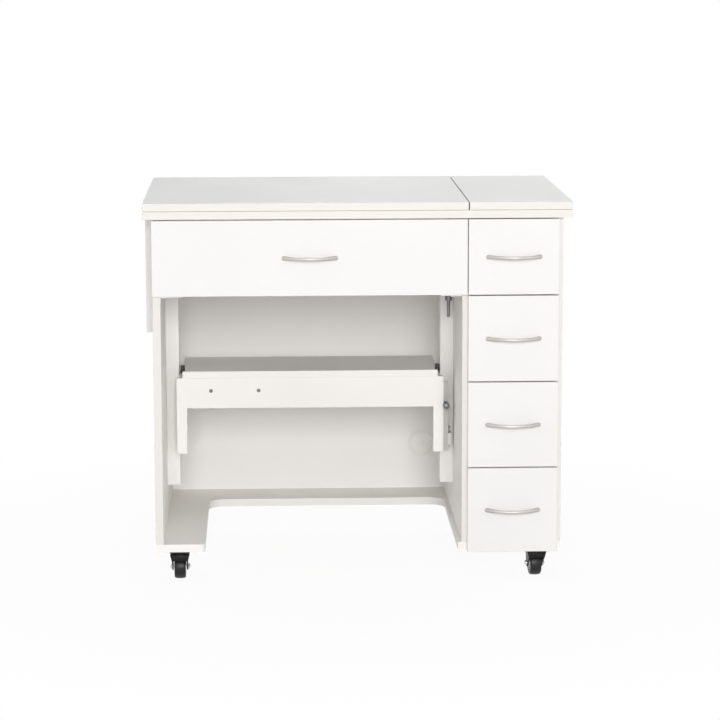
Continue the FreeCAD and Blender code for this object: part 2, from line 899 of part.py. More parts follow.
def caster_wheel(x, y):
    axle_y = y + caster_trail
    tread = rod(point(x - wheel_width / 2, axle_y, wheel_radius), across, wheel_radius, wheel_width)
    tread = tread.makeFillet(wheel_round, tread.Edges)
    hub_length = wheel_width + 2 * wheel_hub_out
    hub = rod(point(x - hub_length / 2, axle_y, wheel_radius), across, wheel_hub_radius, hub_length)
    bore_radius = axle_radius + running_clear
    bore = rod(point(x - hub_length / 2, axle_y, wheel_radius), across, bore_radius, hub_length)
    return [tread.fuse(hub).removeSplitter().cut(bore)]


def as_it_stands(place, x, y, solids):
    if place == "front_right":
        for solid in solids:
            solid.rotate(point(x, y, 0), up, front_right_turn)
    return solids


# ---- all nodes ----

def save_carcass():
    save("floor_board", floor_board())
    save("left_side_panel", side_panel(-side_out))
    save("divider_panel", side_panel(divider_left))
    save("right_side_panel", side_panel(side_in))
    save("back_panel", back_panel())
    save("table_top", table_top())
    save("carcass_screws", carcass_screws())
    save("cable_grommet", cable_grommet())
    save("grommet_cap", grommet_cap())
    save("fixed_runners", fixed_runners())


def save_lids():
    save("left_lid", lid(-1))
    save("right_lid", lid(1))
    save("lid_hinge_lower_leaves", lid_hinge_leaves(-1, False) + lid_hinge_leaves(1, False))
    save("left_lid_hinge_leaves", lid_hinge_leaves(-1, True))
    save("right_lid_hinge_leaves", lid_hinge_leaves(1, True))
    save("lid_hinge_pins", lid_hinge_pins())
    save("leaf_support", leaf_support())
    save("support_hinge_wall_leaves", support_hinge_leaves(False) + support_hinge_pins())
    save("support_hinge_board_leaves", support_hinge_leaves(True))


def save_fronts():
    save("drop_front", front_board(flap_left, flap_right, front_split, front_high))
    save("drop_front_handle", front_handle(flap_left, flap_right, front_split, front_high))
    save("drop_front_hinge_leaves", [flap_hinge_leaf(side) for side in ends])
    fixed_halves = [flap_hinge_bracket(side) for side in ends]
    pins = [flap_hinge_pin(side) for side in ends]
    save("drop_front_hinge_brackets", fixed_halves + pins)
    for number in range(1, drawer_count + 1):
        low, high = drawer_range(number)
        name = "drawer_" + str(number)
        save(name + "_front", front_board(drawer_left, drawer_right, low, high))
        save(name + "_handle", front_handle(drawer_left, drawer_right, low, high))
        save(name + "_box", drawer_box(number))
        save(name + "_runners", drawer_runners(number))


def save_lift():
    save("left_lift_post", lift_post(-1))
    save("right_lift_post", lift_post(1))
    save("lift_platform", lift_platform())
    save("lift_apron", lift_apron())
    save("apron_screws", apron_screws())
    save("lift_arms", lift_arms())
    save("lift_slide_blocks", slide_blocks())
    save("platform_end_clips", end_clips())
    save("lift_stop_screw", stop_screw())
    save("lift_stop_rod", stop_rod())
    save("lift_lock_knob", lock_knob())


def save_casters():
    save("caster_plates", caster_plates())
    save("caster_screws", caster_screws())
    for place, (x, y) in caster_places().items():
        save(place + "_caster_fork", as_it_stands(place, x, y, caster_fork(x, y)))
        save(place + "_caster_wheel", as_it_stands(place, x, y, caster_wheel(x, y)))


os.makedirs("parts", exist_ok=True)
save_carcass()
save_lids()
save_fronts()
save_lift()
save_casters()
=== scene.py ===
import bpy
import bmesh
import json
import math
from mathutils import Matrix, Vector


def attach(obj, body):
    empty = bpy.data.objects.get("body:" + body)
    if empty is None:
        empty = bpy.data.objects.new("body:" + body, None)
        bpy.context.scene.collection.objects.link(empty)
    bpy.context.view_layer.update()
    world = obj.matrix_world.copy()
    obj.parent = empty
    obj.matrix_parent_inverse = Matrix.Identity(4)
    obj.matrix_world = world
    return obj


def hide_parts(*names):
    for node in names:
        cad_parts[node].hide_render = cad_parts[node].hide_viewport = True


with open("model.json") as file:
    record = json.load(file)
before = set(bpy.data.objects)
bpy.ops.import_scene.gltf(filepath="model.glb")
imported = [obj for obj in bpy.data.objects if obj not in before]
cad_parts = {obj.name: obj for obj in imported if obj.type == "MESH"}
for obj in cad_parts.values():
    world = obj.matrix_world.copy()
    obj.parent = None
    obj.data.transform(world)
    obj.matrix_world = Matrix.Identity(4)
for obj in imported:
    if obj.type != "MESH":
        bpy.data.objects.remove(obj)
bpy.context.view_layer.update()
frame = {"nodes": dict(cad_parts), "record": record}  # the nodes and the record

# Folding sewing and cutting table. Metres, +X the user's right, +Y the back, +Z up.
mm = 0.001
nodes = frame["nodes"]

print("camera")
view = {
    "place": (-0.185, -5.48925, 1.3135),
    "tip": math.pi / 2 - 0.162,
    "swing": -0.036,
    "roll": -0.002,
    "lens": 131.57,
    "sensor": 36,
    "farthest": 60,
}
bpy.ops.object.camera_add(location=view["place"])
camera = bpy.context.object
camera.name = "camera"
aim = Matrix.Rotation(view["swing"], 3, "Z") @ Matrix.Rotation(view["tip"], 3, "X")
aim = aim @ Matrix.Rotation(view["roll"], 3, "Z")
camera.rotation_euler = aim.to_euler()
camera.data.lens = view["lens"]
camera.data.sensor_width = view["sensor"]
camera.data.clip_end = view["farthest"]
bpy.context.scene.camera = camera
bpy.context.scene.view_settings.view_transform = "Standard"

print("node helpers")


def feed(tree, socket, value):  # the value is a number, a colour or another node's output
    if isinstance(value, bpy.types.NodeSocket):
        tree.links.new(value, socket)
    elif socket.type == "RGBA":
        socket.default_value = (*value, 1)
    else:
        socket.default_value = value


def addNode(tree, kind, group=None, **fed):
    node = tree.nodes.new("ShaderNode" + kind)
    if group:
        node.node_tree = group
    for name, value in fed.items():
        feed(tree, node.inputs[name.replace("_", " ")], value)
    return node


def placeGroup(tree, group, **fed):
    return addNode(tree, "Group", group, **fed).outputs


def mathNode(tree, operation, first, second, clamp=False):
    node = addNode(tree, "Math")
    node.operation = operation
    node.use_clamp = clamp
    feed(tree, node.inputs[0], first)
    feed(tree, node.inputs[1], second)
    return node.outputs[0]


def vectorNode(tree, operation, first, second=None):
    node = addNode(tree, "VectorMath")
    node.operation = operation
    feed(tree, node.inputs[0], first)
    if second:
        feed(tree, node.inputs[1], second)
    return node


def spread(tree, value, low, high, fromLow=0.3, fromHigh=0.7):
    node = addNode(tree, "MapRange", From_Min=fromLow, From_Max=fromHigh,
                   To_Min=low, To_Max=high, Value=value)
    return node.outputs[0]


def mixColour(tree, mask, first, second):
    node = addNode(tree, "Mix")
    node.data_type = "RGBA"
    for name, value in (("Factor", mask), ("A", first), ("B", second)):
        feed(tree, node.inputs[name], value)
    return node.outputs["Result"]


def mixShaders(tree, share, first, second):
    node = addNode(tree, "MixShader")
    for socket, value in zip(node.inputs, (share, first.outputs[0], second.outputs[0])):
        feed(tree, socket, value)
    return node.outputs[0]


def readPlace(tree, kind="Object"):
    return addNode(tree, "TexCoord").outputs[kind]


def firstLook(tree):  # 1 for a ray that the camera sends, also by way of metal or glass
    seen = addNode(tree, "LightPath")
    most = mathNode(tree, "MAXIMUM", seen.outputs["Is Camera Ray"], seen.outputs["Is Glossy Ray"])
    return mathNode(tree, "MAXIMUM", most, seen.outputs["Is Transmission Ray"])


print("studio")
studio = {
    "white": (1, 1, 1),
    "paper": (0.94, 0.94, 0.94),  # the floor's own colour
    "paperNear": 0.93,  # how much of the plain white the floor keeps under the table
    "paperFade": (0.5, 1.3),  # where it starts to go up to plain white, and where it is there
    "paperSize": 60,
    "fillLight": 0.30,  # what the pale room sends back from everywhere
    "aim": (0, 0, 0.45),
    "lamps": {  # where each hangs, its side and its power
        "frontLamp": ((0.2, -9.0, 2.5), 3.0, 405),
        "leftFlankLamp": ((-6.3, -3.2, 2.0), 2.5, 50),
        "rightFlankLamp": ((6.3, -3.2, 2.0), 2.5, 50),
        "leftRearLamp": ((-5.0, 5.5, 2.5), 2.5, 100),
        "rightRearLamp": ((5.0, 5.5, 2.5), 2.5, 100),
        "backLamp": ((0.8, 7.5, 3.2), 3.0, 42),
        "topLamp": ((0.1, -1.6, 4.0), 2.5, 15),
    },
}

world = bpy.data.worlds.new("paleRoom")
bpy.context.scene.world = world
world.use_nodes = True
air = world.node_tree
air.nodes.clear()
roomFill = addNode(air, "Background", Color=studio["white"], Strength=studio["fillLight"])
roomWhite = addNode(air, "Background", Color=studio["white"], Strength=1)
addNode(air, "OutputWorld", Surface=mixShaders(air, firstLook(air), roomFill, roomWhite))

for name, (place, size, power) in studio["lamps"].items():
    bpy.ops.object.light_add(type="AREA", location=place)
    lamp = bpy.context.object
    lamp.name = name
    lamp.data.shape = "SQUARE"
    lamp.data.size = size
    lamp.data.energy = power
    lamp.rotation_euler = (Vector(studio["aim"]) - Vector(place)).to_track_quat("-Z", "Y").to_euler()

bpy.ops.mesh.primitive_plane_add(size=studio["paperSize"], location=(0, 0, 0))
floor = bpy.context.object
floor.name = "studioFloor"

# White paper: it takes the table's shadow near the casters and is plain white further out.
paper = bpy.data.materials.new("floorPaper")
paper.use_nodes = True
sheet = paper.node_tree
sheet.nodes.clear()
paperBody = addNode(sheet, "BsdfDiffuse", Color=studio["paper"])
paperGlow = addNode(sheet, "Emission", Color=studio["white"])
away = vectorNode(sheet, "LENGTH", readPlace(sheet)).outputs["Value"]
fade = spread(sheet, away, studio["paperNear"], 1.0, *studio["paperFade"])
glowShare = mathNode(sheet, "MULTIPLY", fade, firstLook(sheet))
addNode(sheet, "OutputMaterial", Surface=mixShaders(sheet, glowShare, paperBody, paperGlow))
floor.data.materials.append(paper)

print("finishes")


def startGroup(name, takes, gives):  # what it takes, each with its usual value, and what it gives
    group = bpy.data.node_groups.new(name, "ShaderNodeTree")
    for label, value in takes.items():
        kind = "NodeSocketVector" if isinstance(value, tuple) else "NodeSocketFloat"
        group.interface.new_socket(label, in_out="INPUT", socket_type=kind).default_value = value
    for label in gives:
        group.interface.new_socket(label, in_out="OUTPUT", socket_type="NodeSocketFloat")
    takesNode = group.nodes.new("NodeGroupInput")
    return group, takesNode.outputs, group.nodes.new("NodeGroupOutput").inputs


def makePearlGroup():  # fine pressed texture with a little drift in tone
    group, takes, gives = startGroup("pearlTexture", {"Scale": 700, "Drift Scale": 3}, ("Height", "Drift"))
    place = readPlace(group)
    fine = addNode(group, "TexNoise", Detail=3, Roughness=0.55, Vector=place, Scale=takes["Scale"])
    cells = addNode(group, "TexVoronoi")
    cells.feature = "SMOOTH_F1"
    feed(group, cells.inputs["Vector"], place)
    feed(group, cells.inputs["Scale"], takes["Scale"])
    pits = mathNode(group, "MULTIPLY", cells.outputs["Distance"], 0.5)
    feed(group, gives["Height"], mathNode(group, "ADD", fine.outputs["Fac"], pits))
    slow = addNode(group, "TexNoise", Detail=4, Roughness=0.6, Vector=place,
                   Scale=takes["Drift Scale"])
    feed(group, gives["Drift"], slow.outputs["Fac"])
    return group


def makeEdgeGroup():  # finds the edges of a piece, broken up as handling does
    group, takes, gives = startGroup("handledEdges", {"Width": 0.0012, "Break Up": 60}, ("Mask",))
    eased = addNode(group, "Bevel", Radius=takes["Width"])
    eased.samples = 4
    flat = addNode(group, "NewGeometry")
    compare = vectorNode(group, "DOT_PRODUCT", eased.outputs[0], flat.outputs["Normal"])
    bend = mathNode(group, "SUBTRACT", 1.0, compare.outputs["Value"], clamp=True)
    rub = addNode(group, "TexNoise", Detail=5, Vector=readPlace(group), Scale=takes["Break Up"])
    sharper = mathNode(group, "MULTIPLY", bend, 5.0)
    broken = mathNode(group, "MULTIPLY", sharper, rub.outputs["Fac"])
    feed(group, gives["Mask"], mathNode(group, "MINIMUM", broken, 1.0))
    return group


def makeBrushGroup():  # long fine streaks, with slow blotches
    takes = {"Along": (0, 0, 0), "Scale": 900}
    group, takes, gives = startGroup("brushedStreaks", takes, ("Streak", "Blotch"))
    place = readPlace(group)
    squeezed = vectorNode(group, "MULTIPLY", place, takes["Along"]).outputs[0]
    lines = addNode(group, "TexNoise", Detail=4, Vector=squeezed, Scale=takes["Scale"])
    feed(group, gives["Streak"], lines.outputs["Fac"])
    patches = addNode(group, "TexNoise", Scale=45, Detail=3, Vector=place)
    feed(group, gives["Blotch"], patches.outputs["Fac"])
    return group


pearlGroup = makePearlGroup()
edgeGroup = makeEdgeGroup()
brushGroup = makeBrushGroup()

# The grain's and the tone's scale, the bump's depth and strength, the worn edges' width and break-up,
# and how far the roughness goes to either side of its value.
surfaces = {
    "board": {"grain": 750, "drift": 2.6, "depth": 0.02 * mm, "bump": 0.35, "rub": (1.4 * mm, 38),
              "band": (-0.04, 0.05)},
    "moulded": {"grain": 1600, "drift": 30, "depth": 0.015 * mm, "bump": 0.4, "rub": (0.6 * mm, 120),
                "band": (-0.05, 0.08)},
    "metal": {"grain": 900, "along": (0.05, 1, 1), "depth": 0.01 * mm, "bump": 0.5, "rub": (0.6 * mm, 160),
              "band": (-0.05, 0.09)},
}
forwardLimit = -0.7  # faces whose normal points forwards more than this take a darker, warmer colour


def startMaterial(name):
    made = bpy.data.materials.new(name)
    made.use_nodes = True
    tree = made.node_tree
    tree.nodes.clear()
    body = addNode(tree, "BsdfPrincipled")
    addNode(tree, "OutputMaterial", Surface=body.outputs[0])
    return made, tree, body


def roughenAndBump(tree, body, look, rough, wave, height):
    down, up = look["band"]
    feed(tree, body.inputs["Roughness"], spread(tree, wave, rough + down, rough + up))
    bump = addNode(tree, "Bump", Distance=look["depth"], Strength=look["bump"], Height=height)
    feed(tree, body.inputs["Normal"], bump.outputs[0])


def makeFinish(name, kind, colour, shade, rough, special=None):
    look = {**surfaces[kind], **(special or {})}
    made, tree, body = startMaterial(name)
    if kind == "metal":
        texture = placeGroup(tree, brushGroup, Along=look["along"], Scale=look["grain"])
        tone, wave, height = texture["Blotch"], texture["Streak"], texture["Streak"]
        body.inputs["Metallic"].default_value = 1
        worn = colour
    else:
        texture = placeGroup(tree, pearlGroup, Scale=look["grain"], Drift_Scale=look["drift"])
        tone, wave, height = texture["Drift"], texture["Drift"], texture["Height"]
        worn = look.get("worn", shade)
    toned = mixColour(tree, spread(tree, tone, 0, 1), colour, shade)
    # faces that point forwards take a darker, warmer colour
    if "forwardFaceColour" in look:
        sides = addNode(tree, "SeparateXYZ", Vector=readPlace(tree, "Normal"))
        front = mathNode(tree, "LESS_THAN", sides.outputs["Y"], forwardLimit)
        toned = mixColour(tree, front, toned, look["forwardFaceColour"])
    rubWidth, rubBreaks = look["rub"]
    rubbed = placeGroup(tree, edgeGroup, Width=rubWidth, Break_Up=rubBreaks)
    feed(tree, body.inputs["Base Color"], mixColour(tree, rubbed["Mask"], toned, worn))
    if "gloss" in look:
        body.inputs["Specular IOR Level"].default_value = look["gloss"]
    roughenAndBump(tree, body, look, rough, wave, height)
    return made


armLook = {
    "paint": (0.82, 0.81, 0.79),
    "steel": (0.64, 0.63, 0.61),
    "paintDrift": 0.95,
    "steelDrift": 0.86,
    "rough": 0.42,
    "grain": 800,
    "streaks": 700,
    "along": (1, 1, 0.05),
    "depth": 0.03 * mm,
    "flange": (187.7 * mm, 198.6 * mm),  # the rolled flange's two sides; between them the colour is a darker grey, bare steel with painted shade
}


def makeArmFinish(name):  # painted, with the rolled flange a darker grey: partly bare steel, partly painted shade
    look = {**surfaces["moulded"], **armLook}
    made, tree, body = startMaterial(name)
    texture = placeGroup(tree, pearlGroup, Scale=look["grain"], Drift_Scale=look["drift"])
    brushed = placeGroup(tree, brushGroup, Along=look["along"], Scale=look["streaks"])
    across = addNode(tree, "SeparateXYZ", Vector=readPlace(tree)).outputs["X"]
    # between the flange's two sides the colour is a darker grey: bare steel with painted shade
    past = [mathNode(tree, "GREATER_THAN", across, side) for side in look["flange"]]
    shadedFlange = mathNode(tree, "SUBTRACT", *past)
    paintShade = tuple(look["paintDrift"] * c for c in look["paint"])
    steelShade = tuple(look["steelDrift"] * c for c in look["steel"])
    painted = mixColour(tree, spread(tree, texture["Drift"], 0, 1), look["paint"], paintShade)
    streakedSteelAndShade = mixColour(tree, brushed["Streak"], look["steel"], steelShade)
    feed(tree, body.inputs["Base Color"], mixColour(tree, shadedFlange, painted, streakedSteelAndShade))
    roughenAndBump(tree, body, look, look["rough"], texture["Drift"], texture["Height"])
    return made


# kind, colour, its second tone, roughness and what is special
finishLooks = {
    "frontMelamine": ("board", (0.868, 0.853, 0.839), (0.852, 0.837, 0.823), 0.50),
    "topMelamine": ("board", (0.884, 0.875, 0.868), (0.868, 0.859, 0.852), 0.50,
        {"forwardFaceColour": (0.83, 0.80, 0.755)}),
    # the carcass, panel and back boards take a lighter white than the fronts: partly their own white, partly
    # painted light for the deep inside
    "carcassMelaminePaintedLight": ("board", (0.945, 0.921, 0.889), (0.929, 0.905, 0.873), 0.52),
    "panelMelaminePaintedLight": ("board", (0.945, 0.921, 0.889), (0.929, 0.905, 0.873), 0.52,
        {"forwardFaceColour": (0.81, 0.78, 0.75)}),
    "backBoardPaintedLight": ("board", (0.942, 0.922, 0.899), (0.926, 0.906, 0.883), 0.56,
        {"grain": 500, "depth": 0.03 * mm}),
    "drawerFoil": ("board", (0.85, 0.845, 0.835), (0.82, 0.815, 0.80), 0.55,
        {"grain": 420, "depth": 0.03 * mm}),
    "satinNickel": ("metal", (0.57, 0.555, 0.535), (0.50, 0.485, 0.465), 0.50),
    "hingeSteel": ("metal", (0.66, 0.66, 0.65), (0.52, 0.52, 0.52), 0.34),
    "zincScrew": ("metal", (0.66, 0.67, 0.68), (0.48, 0.49, 0.51), 0.30),
    "brightZinc": ("metal", (0.90, 0.90, 0.89), (0.82, 0.82, 0.81), 0.42),
    "darkScrew": ("metal", (0.20, 0.20, 0.20), (0.13, 0.13, 0.13), 0.42),
    "rodSteel": ("metal", (0.28, 0.28, 0.28), (0.21, 0.21, 0.21), 0.36, {"along": (1, 1, 0.05)}),
    "runnerSteel": ("moulded", (0.80, 0.80, 0.79), (0.74, 0.74, 0.73), 0.45,
        {"grain": 900, "depth": 0.03 * mm}),
    "whitePlastic": ("moulded", (0.93, 0.91, 0.88), (0.91, 0.89, 0.86), 0.38),
    "slideNylon": ("moulded", (0.82, 0.82, 0.80), (0.76, 0.76, 0.74), 0.45),
    "wheelCore": ("moulded", (0.62, 0.62, 0.61), (0.55, 0.55, 0.54), 0.42),
    "greyPlastic": ("moulded", (0.15, 0.15, 0.15), (0.19, 0.19, 0.19), 0.42),
    "blackPlastic": ("moulded", (0.012, 0.012, 0.013), (0.018, 0.018, 0.019), 0.40, {"gloss": 0.3}),
    "blackPaint": ("moulded", (0.006, 0.006, 0.007), (0.010, 0.010, 0.011), 0.34,
        {"worn": (0.04, 0.04, 0.04), "gloss": 0.2}),
    "blackTread": ("moulded", (0.010, 0.010, 0.010), (0.015, 0.015, 0.015), 0.38,
        {"grain": 1100, "depth": 0.04 * mm, "gloss": 0.3}),
}
finishes = {name: makeFinish(name, *look) for name, look in finishLooks.items()}
finishes["liftArms"] = makeArmFinish("liftArms")

finishOfSlot = {
    "white_melamine": "carcassMelaminePaintedLight",
    "white_back_board": "backBoardPaintedLight",
    "drawer_box_board": "drawerFoil",
    "runner_steel": "runnerSteel",
    "satin_nickel": "satinNickel",
    "hinge_steel": "hingeSteel",
    "zinc_screws": "zincScrew",
    "dark_screws": "darkScrew",
    "white_plastic": "whitePlastic",
    "slide_plastic": "slideNylon",
    "white_painted_steel": "liftArms",
    "stop_rod_steel": "rodSteel",
    "black_plastic": "blackPlastic",
    "caster_plate_steel": "blackPaint",
    "black_painted_steel": "blackPaint",
    "black_tyre": "blackTread",
}
nodesOfFinish = {
    "frontMelamine": ["drop_front", "drawer_1_front", "drawer_2_front", "drawer_3_front", "drawer_4_front"],
    "topMelamine": ["left_lid", "right_lid", "table_top"],
    "panelMelaminePaintedLight": ["left_side_panel", "divider_panel", "right_side_panel", "leaf_support"],
}
finishOfNode = {node: finish for finish, names in nodesOfFinish.items() for node in names}


def giveFinish(piece, finish):
    piece.data.materials.clear()
    piece.data.materials.append(finishes[finish])


for part in frame["record"]["subparts"]:
    giveFinish(nodes[part["node"]], finishOfNode.get(part["node"], finishOfSlot[part["material_slot"]]))

print("workshop helpers")
axisTurn = {  # turns that bring +Z round to look along an axis
    "x": (0, math.pi / 2, 0),
    "y": (-math.pi / 2, 0, 0),
    "-y": (math.pi / 2, 0, 0),
    "-z": (math.pi, 0, 0),
}


def inMetres(points):
    return [(first * mm, second * mm) for first, second in points]


def clearPick():  # also ends an edit
    if bpy.context.mode != "OBJECT":
        bpy.ops.object.mode_set(mode="OBJECT")
    bpy.ops.object.select_all(action="DESELECT")


def pickOnly(piece):
    clearPick()
    piece.select_set(True)
    bpy.context.view_layer.objects.active = piece


def editOn(piece, mode="FACE"):
    pickOnly(piece)
    bpy.ops.object.mode_set(mode="EDIT")
    bpy.ops.mesh.select_mode(type=mode)


def editOff():
    bpy.ops.object.mode_set(mode="OBJECT")


def nameIt(name):
    piece = bpy.context.object
    piece.name = name
    piece.data.name = name
    return piece


def pickAll():
    bpy.ops.mesh.select_all(action="SELECT")


def pickParts(kind, test):
    bpy.ops.mesh.select_mode(type=kind)
    bpy.ops.mesh.select_all(action="DESELECT")
    shape = bmesh.from_edit_mesh(bpy.context.object.data)
    for part in shape.faces if kind == "FACE" else shape.edges:
        part.select_set(bool(test(part)))
    bmesh.update_edit_mesh(bpy.context.object.data)


def pickFaces(test):  # by their middle and normal
    pickParts("FACE", lambda face: test(face.calc_center_median(), face.normal))


def pickEdges(test):  # by their two ends
    pickParts("EDGE", lambda edge: test(edge.verts[0].co, edge.verts[1].co))


def pull(step):  # extrudes the picked faces
    bpy.ops.mesh.extrude_region_move(TRANSFORM_OT_translate={"value": step})


def pullEdges(step):
    bpy.ops.mesh.extrude_edges_move(TRANSFORM_OT_translate={"value": step})


def stretch(amount, about):
    bpy.ops.transform.resize(value=amount, center_override=about)


def closeUp(gap=0):  # joins points nearer than the gap, turns all faces outwards, ends the edit
    pickAll()
    if gap:
        bpy.ops.mesh.remove_doubles(threshold=gap)
    bpy.ops.mesh.normals_make_consistent(inside=False)
    editOff()


def settle(piece, place=(0, 0, 0), turn=(0, 0, 0)):
    pickOnly(piece)
    piece.location = place
    piece.rotation_euler = axisTurn.get(turn, turn)
    bpy.ops.object.transform_apply(location=True, rotation=True, scale=True)
    return piece


def copyOf(piece, place=(0, 0, 0), turn=(0, 0, 0), name="copy"):
    twin = piece.copy()
    twin.data = piece.data.copy()
    bpy.context.scene.collection.objects.link(twin)
    twin.name = name
    twin.data.name = name
    return settle(twin, place, turn)


def joined(pieces, name):
    clearPick()
    for piece in pieces:
        piece.select_set(True)
    bpy.context.view_layer.objects.active = pieces[0]
    bpy.ops.object.join()
    return nameIt(name)


def drop(*pieces):
    for piece in pieces:
        bpy.data.objects.remove(piece, do_unlink=True)


def modify(piece, kind, **settings):
    pickOnly(piece)
    bpy.ops.object.modifier_add(type=kind)
    change = piece.modifiers[-1]
    for name, value in settings.items():
        setattr(change, name, value)
    bpy.ops.object.modifier_apply(modifier=change.name)


def easeEdges(piece, width, segments=2, angle=30):
    modify(piece, "BEVEL", width=width, segments=segments, limit_method="ANGLE",
           angle_limit=math.radians(angle))


def cutWith(piece, cutter, operation="DIFFERENCE"):
    modify(piece, "BOOLEAN", operation=operation, solver="EXACT", object=cutter)
    drop(cutter)


def dress(piece, finish, angle=35):
    pickOnly(piece)
    bpy.ops.object.shade_smooth_by_angle(angle=math.radians(angle))
    if finish:
        giveFinish(piece, finish)
    return piece


def enter(piece, body, slotName, *replaced):  # hangs the piece on its body's empty and hides the CAD nodes that it stands for
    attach(piece, body)
    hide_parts(*replaced)


def turnShape(name, profile, steps=32):  # (radius, height) points turned about Z
    clearPick()
    bpy.ops.mesh.primitive_plane_add(size=mm)
    piece = nameIt(name)
    editOn(piece, "VERT")
    pickAll()
    bpy.ops.mesh.merge(type="CENTER")
    bpy.ops.transform.translate(value=(profile[0][0], 0, profile[0][1]))
    for here, there in zip(profile, profile[1:]):
        step = (there[0] - here[0], 0, there[1] - here[1])
        bpy.ops.mesh.extrude_vertices_move(TRANSFORM_OT_translate={"value": step})
    pickAll()
    bpy.ops.mesh.spin(steps=steps, angle=math.tau, center=(0, 0, 0), axis=(0, 0, 1))
    closeUp(0.002 * mm)
    return piece


def blockShape(name, low, high):
    clearPick()
    middle = [(a + b) / 2 for a, b in zip(low, high)]
    bpy.ops.mesh.primitive_cube_add(size=1, location=middle)
    piece = nameIt(name)
    piece.scale = [b - a for a, b in zip(low, high)]
    return settle(piece, middle)


def roundCorners(piece, test, width, steps):  # and leaves the piece open for more edits
    editOn(piece, "EDGE")
    pickEdges(test)
    bpy.ops.mesh.bevel(offset=width, segments=steps, affect="EDGES")


def sixSides(name, radius, low, high):
    clearPick()
    bpy.ops.mesh.primitive_cylinder_add(vertices=6, radius=radius, depth=high - low,
                                        location=(0, 0, (low + high) / 2))
    return nameIt(name)


def crossCutter(reach, wide, deep):  # the recess of a cross-head screw, point down
    arms = []
    for number in range(2):
        arm = blockShape("crossArm", (-reach, -wide, -deep), (reach, wide, deep))
        editOn(arm)
        pickFaces(lambda middle, normal: normal.z < -0.5)
        stretch((0.45, 0.6, 1), (0, 0, -deep))
        arms.append(settle(arm, turn=(0, 0, number * math.pi / 2)))
    cutWith(arms[0], arms[1], "UNION")
    return arms[0]


def makeScrew(name, kind, finish, size, pointed=True):
    # stands on Z = 0 with its head above and its shank below
    headRadius, headHigh, shankRadius, length = size
    tip = -length
    if kind == "pan":
        head = [(0, headHigh), (0.45 * headRadius, 0.97 * headHigh), (0.75 * headRadius, 0.82 * headHigh),
                (0.93 * headRadius, 0.55 * headHigh), (headRadius, 0.22 * headHigh), (headRadius, 0)]
    else:
        head = [(0, headHigh), (headRadius - 0.15 * mm, headHigh), (headRadius, headHigh - 0.15 * mm),
                (headRadius, headHigh - 0.5 * mm)]
    if pointed:
        end = [(shankRadius, tip + 2 * shankRadius), (0.15 * shankRadius, tip)]
    else:
        end = [(shankRadius, tip + 0.3 * mm), (shankRadius - 0.3 * mm, tip)]
    screw = turnShape(name, head + [(shankRadius, 0)] + end + [(0, tip)], 24)
    cutter = crossCutter(0.62 * headRadius, 0.13 * headRadius, 0.75 * headHigh)
    cutWith(screw, settle(cutter, (0, 0, headHigh)))
    return dress(screw, finish)


def setScrews(model, places, axis):
    # copies of one screw, their heads looking along the axis, each turned a little differently
    return [settle(copyOf(model, turn=(0, 0, 0.7 * number)), place, axis)
            for number, place in enumerate(places)]


faceFront = -266.25 * mm  # the drawer and drop front faces
frontThick = 16 * mm

print("bow handles")
bow = {
    "footHigh": 10.6 * mm,
    "footDeep": 9.4 * mm,
    "middleShare": 0.62,  # the bar's middle against its feet
    "corner": 4.1 * mm,
    "halfSpan": 51 * mm,
    "reach": 24 * mm,
    "overrun": 8,  # degrees that the sweep goes past the face, before it is cut flat
    "steps": 36,
    "screwPitch": 96 * mm,
    "screw": (4 * mm, 2.4 * mm, 2 * mm, 21 * mm),  # head radius and height, shank radius and length
    "places": {
        "drop_front": (-96.75, 666.25),
        "drawer_1": (313, 666.25),
        "drawer_2": (313, 500.5),
        "drawer_3": (313, 324),
        "drawer_4": (313, 147.5),
    },
}


def bowShare(share):  # 1 at the feet, thinnest in the middle; share runs 0 to 1 along the bar
    out = abs(2 * share - 1)
    return bow["middleShare"] + (1 - bow["middleShare"]) * out ** 2.6


def makeBowBar():
    radius = (bow["halfSpan"] ** 2 + bow["reach"] ** 2) / (2 * bow["reach"])
    centre = Vector((0, radius - bow["reach"], 0))
    half = math.asin(bow["halfSpan"] / radius) + math.radians(bow["overrun"])
    clearPick()
    bpy.ops.mesh.primitive_plane_add(size=1, rotation=(0, math.pi / 2, 0))
    bar = nameIt("bowBar")
    bar.scale = (bow["footHigh"], bow["footDeep"], 1)
    bpy.ops.object.transform_apply(location=False, rotation=True, scale=True)
    settle(bar, (0, -radius, 0))
    settle(bar, centre, (0, 0, -half))
    editOn(bar, "VERT")
    pickAll()
    bpy.ops.mesh.bevel(offset=bow["corner"], segments=4, affect="VERTICES")
    bpy.ops.mesh.select_mode(type="FACE")
    pickAll()
    angle = -half
    for number in range(bow["steps"]):
        grow = bowShare((number + 1) / bow["steps"]) / bowShare(number / bow["steps"])
        angle += 2 * half / bow["steps"]
        middle = centre + Vector((radius * math.sin(angle), -radius * math.cos(angle), 0))
        pull((0, 0, 0))
        bpy.ops.transform.rotate(value=-2 * half / bow["steps"], orient_axis="Z", center_override=centre)
        stretch((grow, grow, grow), middle)
    pickAll()
    bpy.ops.mesh.bisect(plane_co=(0, 0, 0), plane_no=(0, 1, 0), use_fill=True, clear_outer=True)
    closeUp(0.002 * mm)
    return dress(bar, "satinNickel", 40)


bowBar = makeBowBar()
bowScrew = makeScrew("bowScrew", "pan", "zincScrew", bow["screw"], pointed=False)
for body, (x, z) in bow["places"].items():
    bar = copyOf(bowBar, (x * mm, faceFront, z * mm))
    ends = [(x * mm + side * bow["screwPitch"] / 2, faceFront + frontThick, z * mm) for side in (-1, 1)]
    handle = joined([bar] + setScrews(bowScrew, ends, "y"), body + "_bow")
    enter(handle, body, "satin_nickel", body + "_handle")
drop(bowBar, bowScrew)

